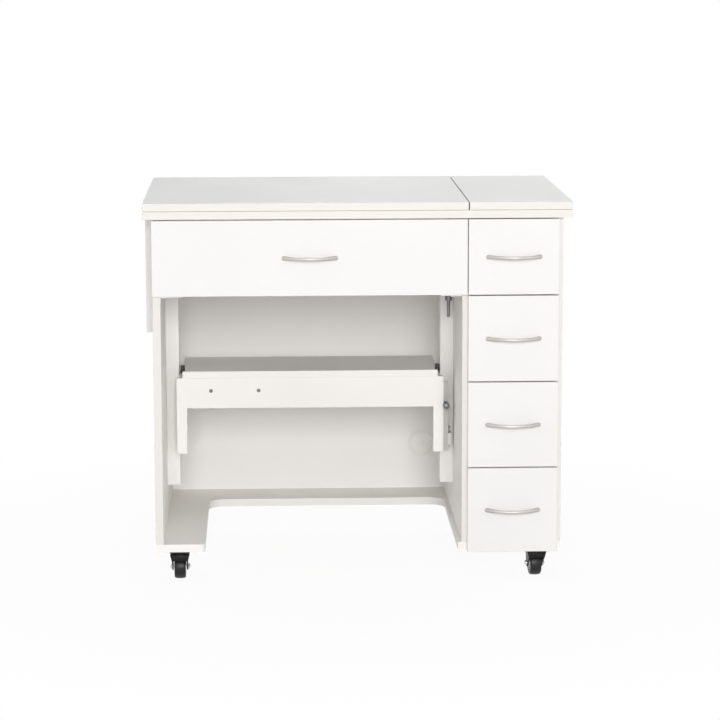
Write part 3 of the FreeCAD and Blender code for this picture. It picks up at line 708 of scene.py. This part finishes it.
print("casters")
caster = {
    "kingpins": {
        "front_left": (-365, -229.25, 0),
        "front_right": (365, -229.25, 4),  # the last number is how far it is swung, in degrees
        "rear_left": (-365, 240.25, 0),
        "rear_right": (365, 240.25, 0),
    },
    "axlePlace": (0, 15 * mm, 25 * mm),
    "plateHalf": 20.5 * mm,
    "plateCorner": 4 * mm,
    "plateTop": 62.5 * mm,
    "plateLow": 60 * mm,
    "race": [(4.2, 60.2), (17.0, 60.2), (17.0, 58.9), (16.6, 58.2), (15.9, 57.9), (15.9, 57.3), (16.6, 57.0),
             (16.9, 56.3), (16.6, 55.4), (15.6, 55.0), (4.2, 55.0), (4.2, 60.2)],
    "kingpinShape": [(0, 50.1), (2.2, 50.1), (2.8, 49.7), (4.6, 49.8), (5.9, 50.4), (6.5, 51.2), (6.5, 51.9),
                     (3.98, 51.9), (3.98, 62.3), (0, 62.3)],
    "sheet": 2.5 * mm,
    "crownMiddle": 53.45 * mm,
    "crownHalf": 18.25 * mm,
    "crownFront": -14.75 * mm,
    "crownBack": 26.4 * mm,
    # height, front and back of a cheek, and how far out it stands
    "cheek": [(48, -14.75, 26.2, 16.7), (42, -14.75, 25.4, 15.0), (33.5, -3.9, 24.2, 15.0),
              (25, 7.0, 23.0, 15.0), (21.0, 8.1, 21.9, 15.0), (18.3, 10.6, 19.4, 15.0),
              (17.0, 13.8, 16.2, 15.0)],
    "skirtRows": 2,  # rows of the cheek that the front skirt goes down
    "axleBolt": [(0, -20.6), (2.6, -20.4), (4.2, -19.5), (5.1, -18.1), (5.2, -16.3), (3, -16.3), (3, 20.2),
                 (2.3, 21), (0, 21)],
    "axleNut": (5.7 * mm, 16.3 * mm, 19.5 * mm),  # radius over its corners, low and high end
    "axleNutTurned": [(0, 16.3), (5.0, 16.3), (5.75, 16.8), (5.75, 19.0), (5.0, 19.5), (0, 19.5)],
    "wheel": [(3.05, 12.3), (8.2, 12.3), (9.0, 11.6), (9.4, 9.0), (10.4, 8.2), (15.4, 8.2), (16.4, 9.2),
              (16.9, 10.9), (17.6, 11.4), (18.4, 11.2), (21.6, 11.5), (22.9, 11.1), (23.7, 10.2),
              (24.1, 9.0), (24.5, 7.0), (24.75, 5.0), (24.9, 3.0), (25.0, 0)],
    "pocket": (10.5 * mm, 15.3 * mm),  # the web between the ribs, from and to this radius
    "pocketTurn": (8, 52, 60),  # degrees from and to, and how often one comes
    "pocketRim": 0.7 * mm,
    "pocketDeep": 1.6 * mm,
    "webOut": 7 * mm,
    "tyreFrom": 17.2 * mm,
    "wheelSteps": 56,
    "screwPitch": 31 * mm,
    "screw": (3.6 * mm, 1.6 * mm, 2 * mm, 12 * mm),
}


def makeCasterFork():
    high, front, back = caster["crownMiddle"], caster["crownFront"], caster["crownBack"]
    out = caster["crownHalf"]
    clearPick()
    bpy.ops.mesh.primitive_plane_add(size=1)
    fork = nameIt("fork")
    fork.scale = (out, back - front, 1)
    bpy.ops.object.transform_apply(location=False, rotation=False, scale=True)
    settle(fork, (out / 2, (back + front) / 2, high))
    editOn(fork, "EDGE")
    pickEdges(lambda a, b: min(a.x, b.x) > out - 0.1 * mm)
    for row in caster["cheek"]:
        newHigh, newFront, newBack, newOut = (value * mm for value in row)
        slide = ((newFront + newBack) - (front + back)) / 2
        pullEdges((newOut - out, slide, newHigh - high))
        stretch((1, (newBack - newFront) / (back - front), 1), (newOut, (newFront + newBack) / 2, newHigh))
        high, front, back, out = newHigh, newFront, newBack, newOut
    high, out = caster["crownMiddle"], caster["crownHalf"]
    front = caster["crownFront"]
    pickEdges(lambda a, b: max(a.y, b.y) < front + 0.1 * mm and min(a.z, b.z) > high - 0.1 * mm)
    for row in caster["cheek"][:caster["skirtRows"]]:  # closes the front between the cheeks
        newHigh, newOut = row[0] * mm, row[3] * mm
        pullEdges((0, 0, newHigh - high))
        stretch((newOut / out, 1, 1), (0, 0, 0))
        high, out = newHigh, newOut
    modify(fork, "MIRROR", merge_threshold=0.01 * mm)
    editOn(fork)
    closeUp(0.01 * mm)
    modify(fork, "SOLIDIFY", thickness=caster["sheet"], offset=0, use_even_offset=True)
    easeEdges(fork, 0.7 * mm, 3, 28)
    return dress(fork, "blackPaint", 40)


def makeAxle():
    bolt = turnShape("axleBolt", inMetres(caster["axleBolt"]), 28)
    nut = sixSides("axleNut", *caster["axleNut"])
    cutWith(nut, turnShape("nutTurned", inMetres(caster["axleNutTurned"]), 32), "INTERSECT")
    axle = settle(joined([bolt, nut], "axle"), turn="x")
    return settle(dress(axle, "zincScrew"), caster["axlePlace"])


def inPocket(middle, side):  # the web has shallow pockets between its ribs
    start, stop, every = caster["pocketTurn"]
    turn = math.degrees(math.atan2(middle.y, middle.x)) % every
    low, high = caster["pocket"]
    inWeb = low < math.hypot(middle.x, middle.y) < high and middle.z * side > caster["webOut"]
    return inWeb and start < turn < stop


def makeWheel():
    half = inMetres(caster["wheel"])
    profile = half + [(r, -z) for r, z in reversed(half[:-1])]
    wheel = turnShape("wheel", profile + [half[0]], caster["wheelSteps"])
    for finish in ("wheelCore", "blackTread"):
        wheel.data.materials.append(finishes[finish])
    editOn(wheel)
    for side in (-1, 1):
        pickFaces(lambda middle, normal: inPocket(middle, side))
        bpy.ops.mesh.inset(thickness=caster["pocketRim"], depth=-caster["pocketDeep"])
    pickFaces(lambda middle, normal: math.hypot(middle.x, middle.y) > caster["tyreFrom"])
    wheel.active_material_index = 1
    bpy.ops.object.material_slot_assign()
    settle(wheel, turn="x")
    return settle(dress(wheel, None, 32), caster["axlePlace"])


def makeCasterPlate():
    half = caster["plateHalf"]
    plate = blockShape("plate", (-half, -half, caster["plateLow"]), (half, half, caster["plateTop"]))
    roundCorners(plate, lambda a, b: abs(a.z - b.z) > 1 * mm, caster["plateCorner"], 5)
    easeEdges(plate, 0.3 * mm, 2)
    race = turnShape("race", inMetres(caster["race"]), 40)
    rivet = turnShape("kingpin", inMetres(caster["kingpinShape"]), 32)
    parts = [dress(plate, "blackPaint", 32), dress(race, "blackPaint", 32), dress(rivet, "zincScrew", 32)]
    return joined(parts, "casterPlate")


forkModel = joined([makeCasterFork(), makeAxle()], "forkModel")
wheelModel = makeWheel()
plateModel = makeCasterPlate()
casterScrew = makeScrew("casterScrew", "pan", "darkScrew", caster["screw"])
plates = []
plateScrews = []
for place, (x, y, swing) in caster["kingpins"].items():
    kingpin = (x * mm, y * mm, 0)
    swung = (0, 0, math.radians(swing))
    fork = copyOf(forkModel, kingpin, swung, place + "_fork")
    enter(fork, place + "_swivel", "black_painted_steel", place + "_caster_fork")
    wheel = copyOf(wheelModel, kingpin, swung, place + "_tyred_wheel")
    enter(wheel, place + "_wheel", "black_tyre", place + "_caster_wheel")
    plates.append(copyOf(plateModel, kingpin))
    half = caster["screwPitch"] / 2
    corners = [(x * mm + i * half, y * mm + j * half, caster["plateLow"]) for i in (-1, 1) for j in (-1, 1)]
    plateScrews += setScrews(casterScrew, corners, "-z")
enter(joined(plates, "swivel_plates"), "cabinet", "caster_plate_steel", "caster_plates")
enter(joined(plateScrews, "swivel_plate_screws"), "cabinet", "dark_screws", "caster_screws")
drop(forkModel, wheelModel, plateModel, casterScrew)

print("screws in the cabinet")
boardScrews = {
    "across": (-405, 218.5, 405),
    "deep": (-189.75, 18.75, 227.25),
    "underside": 62.5 * mm,
    "size": (4.98 * mm, 3 * mm, 3 * mm, 43 * mm),
}
boardScrew = makeScrew("boardScrew", "flat", "zincScrew", boardScrews["size"])
seatHigh = boardScrews["underside"] + boardScrews["size"][1]
spots = [(x * mm, y * mm, seatHigh) for x in boardScrews["across"] for y in boardScrews["deep"]]
boardScrewSet = joined(setScrews(boardScrew, spots, "-z"), "carcass_screw_set")
enter(boardScrewSet, "cabinet", "zinc_screws", "carcass_screws")

apronScrews = {
    "across": (-302, -202),
    "high": 358 * mm,
    "face": -33.75 * mm,
    "proud": 0.3 * mm,
    "size": (3.98 * mm, 2.4 * mm, 2.4 * mm, 11 * mm),
}
apronScrew = makeScrew("apronScrew", "flat", "darkScrew", apronScrews["size"])
seatDeep = apronScrews["face"] + apronScrews["size"][1] - apronScrews["proud"]
spots = [(x * mm, seatDeep, apronScrews["high"]) for x in apronScrews["across"]]
apronScrewSet = joined(setScrews(apronScrew, spots, "-y"), "apron_screw_pair")
enter(apronScrewSet, "lift_carriage", "dark_screws", "apron_screws")
drop(boardScrew, apronScrew)

print("drawer rails")
drawerRail = {
    "boxSides": ((239.2 * mm, math.pi), (384.3 * mm, 0)),  # and the way that each rail faces
    "levels": (646 * mm, 469.5 * mm, 293 * mm, 116.5 * mm),
    "middle": -23.25 * mm,
    "half": 223.5 * mm,
    "tip": 10.7 * mm,
    "high": 11.5 * mm,
    "lip": 3 * mm,
    "trough": 3.4 * mm,
    "eased": 0.8 * mm,
    "screws": (-185, -20, 150),
    "screw": (3.6 * mm, 1.9 * mm, 1.8 * mm, 6 * mm),
    "slots": (-100, 70),
    "slotReach": (14 * mm, 2.6 * mm),
}


def makeDrawerRail():  # stands on X = 0, its rolled lips towards +X
    tip, high, half = drawerRail["tip"], drawerRail["high"], drawerRail["half"]
    bar = blockShape("drawerRail", (0, -half, -high), (tip, half, high))
    editOn(bar)
    pickFaces(lambda middle, normal: normal.x > 0.9)
    bpy.ops.mesh.inset(thickness=drawerRail["lip"], depth=0)
    pull((-drawerRail["trough"], 0, 0))
    easeEdges(bar, drawerRail["eased"], 3)
    long, wide = drawerRail["slotReach"]
    bed = tip - drawerRail["trough"]  # the bottom of its trough
    for y in drawerRail["slots"]:
        slot = blockShape("railSlot", (bed - 2 * mm, y * mm - long, -wide),
                          (bed + 2 * mm, y * mm + long, wide))
        easeEdges(slot, 0.98 * wide, 6)
        cutWith(bar, slot)
    dress(bar, "runnerSteel")
    screw = makeScrew("railScrew", "pan", "zincScrew", drawerRail["screw"])
    spots = [(bed, y * mm, 0) for y in drawerRail["screws"]]
    made = joined([bar] + setScrews(screw, spots, "x"), "drawerRail")
    drop(screw)
    return made


railModel = makeDrawerRail()
for number, level in enumerate(drawerRail["levels"], 1):
    pair = [copyOf(railModel, (x, drawerRail["middle"], level), (0, 0, turn))
            for x, turn in drawerRail["boxSides"]]
    rails = joined(pair, f"drawer_{number}_rail_pair")
    enter(rails, f"drawer_{number}", "runner_steel", f"drawer_{number}_runners")
drop(railModel)

print("hinges")
lidHinge = {
    "length": 60 * mm,
    "knuckle": 2.75 * mm,
    "bore": 1.45 * mm,
    "face": -2.05 * mm,  # the leaf's outer face, against the pin's middle
    "near": 3.05 * mm,
    "corner": 2.2 * mm,
    "leaf": (15.05 * mm, ((10, 10.05), (30, 10.05), (50, 10.05))),  # its far edge and its screws
    "axisOut": 432.75 * mm,
    "axisHigh": 761.25 * mm,
    "starts": (-199.75, -17.75, 164.25),
}
supportHinge = {
    "length": 50 * mm,
    "knuckle": 2.6 * mm,
    "bore": 1.45 * mm,
    "face": -1.3 * mm,
    "near": 2.65 * mm,
    "corner": 2.2 * mm,
    "wallLeaf": (22 * mm, ((8, 16), (25, 12), (42, 16))),
    "boardLeaf": (13.5 * mm, ((8, 8.6), (25, 8.6), (42, 8.6))),
    "axis": (-415.8 * mm, 144.55 * mm),
    "starts": (524.3, 672.3),
}
dropHinge = {
    "length": 30 * mm,
    "knuckle": 3 * mm,
    "bore": 1.55 * mm,
    "face": -1.5 * mm,
    "near": 0,
    "corner": 3 * mm,
    "leaf": (35.5 * mm, ((6, 16), (6, 28), (24, 16), (24, 28))),
    "barrel": 11 * mm,
    "gap": 0.3 * mm,
    "pin": 1.5 * mm,
    "axis": (-247.25 * mm, 586.5 * mm),
    "walls": ((-397 * mm, 1), (210.5 * mm, -1)),  # the wall's face, and which way the hinge goes from it
    "plate": (-249.45 * mm, -225.75 * mm, 574 * mm, 599 * mm),
    "plateCorner": 1.6 * mm,
    "plateScrews": ((-240, 579), (-232, 592)),
}
leafSheet = 1.5 * mm
pinRadius = 1.4 * mm
knuckleGap = 0.3 * mm
rolled = 320  # degrees that a leaf's end is rolled round the pin, in this many steps
rollSteps = 20
leafSeat = [(0, 0.5), (2.65, 0.5), (2.65, -0.5), (1.3, -1.1), (1.3, -3), (0, -3)]
seatDrop = 1.1 * mm
leafScrew = makeScrew("leafScrew", "flat", "zincScrew", (2.5 * mm, 1.1 * mm, 1.2 * mm, 8 * mm))


def sinkSeat(plate, spot):
    cutWith(plate, settle(turnShape("seat", inMetres(leafSeat), 24), spot, "x"))


def fitScrew(spot, turn):
    screw = copyOf(leafScrew, (0, 0, -seatDrop), (0, 0, turn))
    return settle(screw, spot, "x")


def makeHingeLeaf(name, hinge, spans, part="leaf"):
    # the pin's middle is the Y axis, and the leaf goes up from it with its outer face towards +X
    face, near, sheet = hinge["face"], hinge["near"], leafSheet
    far, screws = hinge[part]
    leaf = blockShape(name, (face - sheet, 0, near), (face, hinge["length"], far))
    roundCorners(leaf, lambda a, b: min(a.z, b.z) > far - 0.1 * mm and abs(a.y - b.y) < 0.1 * mm,
                 hinge["corner"], 5)
    for span in spans:
        for cut in span:
            if 0 < cut < hinge["length"]:
                pickAll()
                bpy.ops.mesh.bisect(plane_co=(0, cut, 0), plane_no=(0, 1, 0))
    pickFaces(lambda middle, normal: normal.z < -0.5 and middle.z < near + 0.1 * mm
              and any(low < middle.y < high for low, high in spans))
    if near:  # a small set in towards the pin
        wall = hinge["knuckle"] - hinge["bore"]
        middle = face - sheet / 2
        shift = -(hinge["bore"] + wall / 2) - middle
        for half in range(2):
            pull((0.5 * shift, 0, -0.5 * near))
        stretch((wall / sheet, 1, 1), (middle + shift, 0, 0))
    for number in range(rollSteps):
        pull((0, 0, 0))
        bpy.ops.transform.rotate(value=math.radians(rolled / rollSteps), orient_axis="Y",
                                 center_override=(0, 0, 0))
    closeUp(0.001 * mm)
    fitted = []
    for y, z in inMetres(screws):
        sinkSeat(leaf, (face, y, z))
        fitted.append(fitScrew((face, y, z), 900 * y))
    return joined([dress(leaf, "hingeSteel", 30)] + fitted, name)


def makePin(name, length, radius):
    end = [(0, 0), (0.6 * radius, 0.06 * mm), (0.9 * radius, 0.25 * mm), (radius, 0.6 * mm)]
    pin = turnShape(name, end + [(r, length - z) for r, z in reversed(end)], 20)
    return dress(pin, "zincScrew")


def thirds(length):
    low, high = length / 3, 2 * length / 3
    return [(0, low), (high, length)], [(low + knuckleGap, high - knuckleGap)]


outerKnuckles, middleKnuckle = thirds(lidHinge["length"])
fixedModel = makeHingeLeaf("lidFixedLeaf", lidHinge, outerKnuckles)
movingModel = makeHingeLeaf("lidMovingLeaf", lidHinge, middleKnuckle)
pinModel = makePin("lidPin", lidHinge["length"], pinRadius)
lowerLeaves, leftLeaves, rightLeaves, lidPins = [], [], [], []
for start in lidHinge["starts"]:
    low, high = start * mm, start * mm + lidHinge["length"]
    out, up = lidHinge["axisOut"], lidHinge["axisHigh"]
    rightLeaves.append(copyOf(movingModel, (out, low, up)))
    lowerLeaves.append(copyOf(fixedModel, (out, high, up), (math.pi, 0, 0)))
    leftLeaves.append(copyOf(movingModel, (-out, high, up), (0, 0, math.pi)))
    lowerLeaves.append(copyOf(fixedModel, (-out, low, up), (0, math.pi, 0)))
    for side in (-1, 1):
        lidPins.append(copyOf(pinModel, (side * out, low, up), "y"))
enter(joined(lowerLeaves, "lid_hinge_lower_set"), "cabinet", "hinge_steel", "lid_hinge_lower_leaves")
enter(joined(leftLeaves, "left_lid_hinge_set"), "left_lid", "hinge_steel", "left_lid_hinge_leaves")
enter(joined(rightLeaves, "right_lid_hinge_set"), "right_lid", "hinge_steel", "right_lid_hinge_leaves")
enter(joined(lidPins, "lid_pin_set"), "cabinet", "hinge_steel", "lid_hinge_pins")
drop(fixedModel, movingModel, pinModel)

outerKnuckles, middleKnuckle = thirds(supportHinge["length"])
wallModel = makeHingeLeaf("wallLeaf", supportHinge, outerKnuckles, "wallLeaf")
boardModel = makeHingeLeaf("boardLeaf", supportHinge, middleKnuckle, "boardLeaf")
pinModel = makePin("supportPin", supportHinge["length"], pinRadius)
wallSide, boardSide = [], []
for start in supportHinge["starts"]:
    x, y = supportHinge["axis"]
    low, high = start * mm, start * mm + supportHinge["length"]
    wallSide.append(copyOf(wallModel, (x, y, low), (math.pi / 2, 0, math.pi)))
    wallSide.append(copyOf(pinModel, (x, y, low)))
    boardSide.append(copyOf(boardModel, (x, y, high), (-math.pi / 2, 0, math.pi / 2)))
enter(joined(wallSide, "support_hinge_wall_set"), "cabinet", "hinge_steel", "support_hinge_wall_leaves")
enter(joined(boardSide, "support_hinge_board_set"), "leaf_support", "hinge_steel",
      "support_hinge_board_leaves")
drop(wallModel, boardModel, pinModel)


def makeDropBracket():  # the wall's face is X = 0 and the hinge goes towards +X
    front, back, low, high = dropHinge["plate"]
    y, z = dropHinge["axis"]
    sheet, barrelLong = leafSheet, dropHinge["barrel"]
    plate = blockShape("dropBracket", (0, front, low), (sheet, back, high))
    roundCorners(plate, lambda a, b: abs(a.x - b.x) > 1 * mm, dropHinge["plateCorner"], 4)
    spots = [(sheet, deep, up) for deep, up in inMetres(dropHinge["plateScrews"])]
    for spot in spots:
        sinkSeat(plate, spot)
    reach = sheet + barrelLong
    knuckle, bore = dropHinge["knuckle"], dropHinge["bore"] - 0.04 * mm
    collar = knuckle + 0.8 * mm
    barrel = turnShape("barrel", [(bore, 0.2 * mm), (collar, 0.2 * mm), (collar, 1.7 * mm),
                                  (knuckle, 2.6 * mm), (knuckle, reach - 0.3 * mm),
                                  (knuckle - 0.3 * mm, reach), (bore, reach), (bore, 0.2 * mm)], 32)
    settle(barrel, (0, y, z), "x")
    pinHole = turnShape("pinHole", [(0, -1 * mm), (bore, -1 * mm), (bore, 3 * mm), (0, 3 * mm)], 32)
    cutWith(plate, settle(pinHole, (0, y, z), "x"))
    cutWith(plate, barrel, "UNION")
    easeEdges(plate, 0.15 * mm, 2, 40)
    dress(plate, "hingeSteel", 30)
    pin = makePin("dropPin", sheet + 2 * barrelLong + dropHinge["gap"], dropHinge["pin"])
    settle(pin, (0, y, z), "x")
    return joined([plate, pin] + [fitScrew(spot, spot[1] / mm) for spot in spots], "dropBracket")


bracketModel = makeDropBracket()
length, barrelLong = dropHinge["length"], dropHinge["barrel"]
leafModels = {  # its knuckle is at the end that is next to the wall
    -1: makeHingeLeaf("dropLeaf", dropHinge, [(0, barrelLong)]),
    1: makeHingeLeaf("dropLeaf", dropHinge, [(length - barrelLong, length)]),
}
brackets, leaves = [], []
y, z = dropHinge["axis"]
for wall, way in dropHinge["walls"]:
    bracket = copyOf(bracketModel)
    if way < 0:  # the same shape the other way round
        bracket.scale = (-1, 1, 1)
        settle(bracket)
        editOn(bracket)
        closeUp()
    brackets.append(settle(bracket, (wall, 0, 0)))
    near = wall + way * (leafSheet + barrelLong + dropHinge["gap"])
    far = near + max(way, 0) * length
    leaves.append(copyOf(leafModels[way], (far, y, z), (0, 0, math.pi / 2)))
enter(joined(brackets, "drop_front_bracket_set"), "cabinet", "hinge_steel", "drop_front_hinge_brackets")
enter(joined(leaves, "drop_front_leaf_set"), "drop_front", "hinge_steel", "drop_front_hinge_leaves")
drop(bracketModel, *leafModels.values(), leafScrew)

print("cable grommet")
grommet = {
    "place": (159.5 * mm, 287.25 * mm, 180 * mm),
    "sleeve": [(25, -5), (28, -5), (28, 0), (30, 0), (30, 0.7), (29.7, 1.35), (29.0, 1.8), (28.0, 2.0),
               (26.9, 1.95), (25.9, 1.6), (25.25, 1.0), (25, 0.3), (25, -5)],
    "cap": [(0, 3.2), (2.9, 3.2), (3.6, 3.0), (4.0, 2.5), (4.0, 1.9), (4.5, 1.55), (6.0, 1.5), (18.8, 1.5),
            (19.4, 1.45), (19.8, 1.1), (20.4, 1.1), (20.8, 1.5), (21.4, 1.95), (23.6, 2.0), (24.3, 1.8),
            (24.7, 1.3), (24.7, -1), (0, -1)],
    "dent": [(0, -0.4), (2.4, 0), (3.6, 0.8), (4.1, 1.7), (4.1, 4), (0, 4)],
    "dentPlace": (165.9 * mm, 287.25 * mm, 173.6 * mm),
}
sleeve = settle(turnShape("grommet_sleeve", inMetres(grommet["sleeve"]), 72), grommet["place"], "-y")
enter(dress(sleeve, "whitePlastic", 30), "cabinet", "white_plastic", "cable_grommet")
cap = settle(turnShape("grommet_lid", inMetres(grommet["cap"]), 72), grommet["place"], "-y")
dent = turnShape("fingerDent", inMetres(grommet["dent"]), 32)
cutWith(cap, settle(dent, grommet["dentPlace"], "-y"))
enter(dress(cap, "whitePlastic", 30), "cabinet", "white_plastic", "grommet_cap")

print("lift hardware")
lockKnob = {
    "place": (193 * mm, -34.25 * mm, 324 * mm),
    "grip": [(0, 12.6), (3.3, 12.6), (3.5, 13.4), (4.4, 14.0), (5.7, 13.6), (6.5, 12.7), (6.75, 11.4),
             (6.75, 2.6), (6.4, 1.2), (5.6, 0.3), (4.6, 0), (0, 0)],
    "collar": [(0, 0.2), (4.2, 0.2), (4.2, -1.2), (5, -1.8), (5, -15.7), (4.6, -16.3), (2.3, -16.3),
               (2.3, -6), (0, -6)],
    "flutes": 10,
    "fluteRadius": 0.95 * mm,
    "fluteOut": 7.0 * mm,
    "badge": [(0, 13.35), (3.1, 13.3), (3.8, 13.05), (4.05, 12.5), (4.05, 12.0), (0, 12.0)],
    "screw": [(0, 7), (2, 7), (2, -45.4), (1.3, -46.2), (0, -46.2)],
}
grip = turnShape("grip", inMetres(lockKnob["grip"]), 60)
flutes = []
for number in range(lockKnob["flutes"]):
    turn = math.tau * number / lockKnob["flutes"]
    flute = turnShape("flute", [(0, 2), (0.8, 2.4), (1, 3.4), (1, 20), (0, 20)], 16)
    flute.scale = (lockKnob["fluteRadius"], lockKnob["fluteRadius"], mm)
    out = lockKnob["fluteOut"]
    flutes.append(settle(flute, (out * math.cos(turn), out * math.sin(turn), 0)))
cutWith(grip, joined(flutes, "flutes"))
parts = [dress(grip, "greyPlastic")]
for name, finish, steps in (
        ("collar", "blackPlastic", 40), ("badge", "rodSteel", 32), ("screw", "zincScrew", 28)):
    parts.append(dress(turnShape(name, inMetres(lockKnob[name]), steps), finish))
knob = settle(joined(parts, "lift_lock_grip"), lockKnob["place"], "-y")
enter(knob, "lift_lock", "black_plastic", "lift_lock_knob")

liftStops = {
    "place": (200.25 * mm, 6.25 * mm, 0),
    "rod": [(0, 505.5), (2.2, 505.5), (3, 506.3), (3, 742), (5.2, 742), (6, 742.6), (6, 744.9), (0, 744.9)],
    "nutLow": 541 * mm,
    "nutHigh": 11 * mm,
    "nutAcross": 6.8 * mm,
    "nutHole": 3.02 * mm,
    "bolt": [(0, 257.3), (1.9, 257.3), (2.5, 257.9)],  # its end, below the thread
    "threadFrom": 258.2,
    "threadPitch": 0.8,
    "threadRoot": 2.15,
    "boltRadius": 2.5,
    "screwHeadLow": 267.3,
    "screwHeadHigh": 5,
    "screwHeadAcross": 5 * mm,
    "lug": 260.3,
    "jamNutAcross": 4.6 * mm,
    "jamNutHole": 2.2 * mm,
}


def makeHexNut(name, across, low, high, hole):
    nut = sixSides(name, across, low, high)
    ease = 0.12 * across
    shell = turnShape("nutShell", [(0, low), (across - ease, low), (across, low + 0.6 * ease),
                                   (across, high - 0.6 * ease), (across - ease, high), (0, high)], 36)
    cutWith(nut, shell, "INTERSECT")
    if hole:
        bore = turnShape("nutBore", [(0, low - mm), (hole, low - mm), (hole, high + mm), (0, high + mm)], 36)
        cutWith(nut, bore)
    return nut


rodBar = turnShape("rodBar", inMetres(liftStops["rod"]), 32)
low = liftStops["nutLow"]
rodNut = makeHexNut("rodNut", liftStops["nutAcross"], low, low + liftStops["nutHigh"],
                    liftStops["nutHole"])
rodNut.rotation_euler.z = math.pi / 6  # two of its corners to the sides
stopRod = joined([dress(part, "rodSteel", 30) for part in (rodBar, rodNut)], "lift_stop_bar")
enter(settle(stopRod, liftStops["place"]), "cabinet", "stop_rod_steel", "lift_stop_rod")

low, radius = liftStops["screwHeadLow"], liftStops["boltRadius"]
thread = list(liftStops["bolt"])
height = liftStops["threadFrom"]
while height < low:
    thread += [(radius, height), (liftStops["threadRoot"], height + liftStops["threadPitch"] / 2)]
    height += liftStops["threadPitch"]
thread += [(radius, low + 0.5), (0, low + 0.5)]
bolt = turnShape("bolt", inMetres(thread), 24)
head = makeHexNut("boltHead", liftStops["screwHeadAcross"], low * mm,
                  (low + liftStops["screwHeadHigh"]) * mm, 0)
lug = liftStops["lug"]
jam = makeHexNut("jamNut", liftStops["jamNutAcross"], (lug + 0.02) * mm, (lug + 2.4) * mm,
                 liftStops["jamNutHole"])
stopScrew = settle(joined([bolt, head, jam], "lift_stop_bolt"), liftStops["place"])
enter(dress(stopScrew, "brightZinc", 30), "lift_carriage", "zinc_screws", "lift_stop_screw")

endClip = {
    "lap": 5 * mm,  # over the platform's end
    "wall": 4 * mm,
    "deep": 14 * mm,
    "middle": -25.75 * mm,
    "low": 396 * mm,
    "platformTop": 400 * mm,
    "high": 411 * mm,
    "eased": 0.9 * mm,
    "rim": 1.4 * mm,
    "dish": 0.5 * mm,
    "ends": [(-361.5 * mm, math.pi), (175 * mm, 0)],
}


def makeEndClip():  # the platform's end is X = 0, and the clip hangs over it towards +X
    half, top = endClip["deep"] / 2, endClip["platformTop"]
    clip = blockShape("clip", (-endClip["lap"], -half, top), (endClip["wall"], half, endClip["high"]))
    editOn(clip)
    pickAll()
    bpy.ops.mesh.bisect(plane_co=(0, 0, 0), plane_no=(1, 0, 0))
    pickFaces(lambda middle, normal: normal.z < -0.5 and middle.x > 0)
    pull((0, 0, endClip["low"] - top))
    easeEdges(clip, endClip["eased"], 3)
    editOn(clip)
    pickFaces(lambda middle, normal: normal.z > 0.9)
    bpy.ops.mesh.inset(thickness=endClip["rim"], depth=-endClip["dish"])
    editOff()
    return clip


clipModel = makeEndClip()
clips = [copyOf(clipModel, (x, endClip["middle"], 0), (0, 0, turn)) for x, turn in endClip["ends"]]
clipPair = dress(joined(clips, "platform_end_stops"), "blackPlastic")
enter(clipPair, "lift_carriage", "black_plastic", "platform_end_clips")
drop(clipModel)
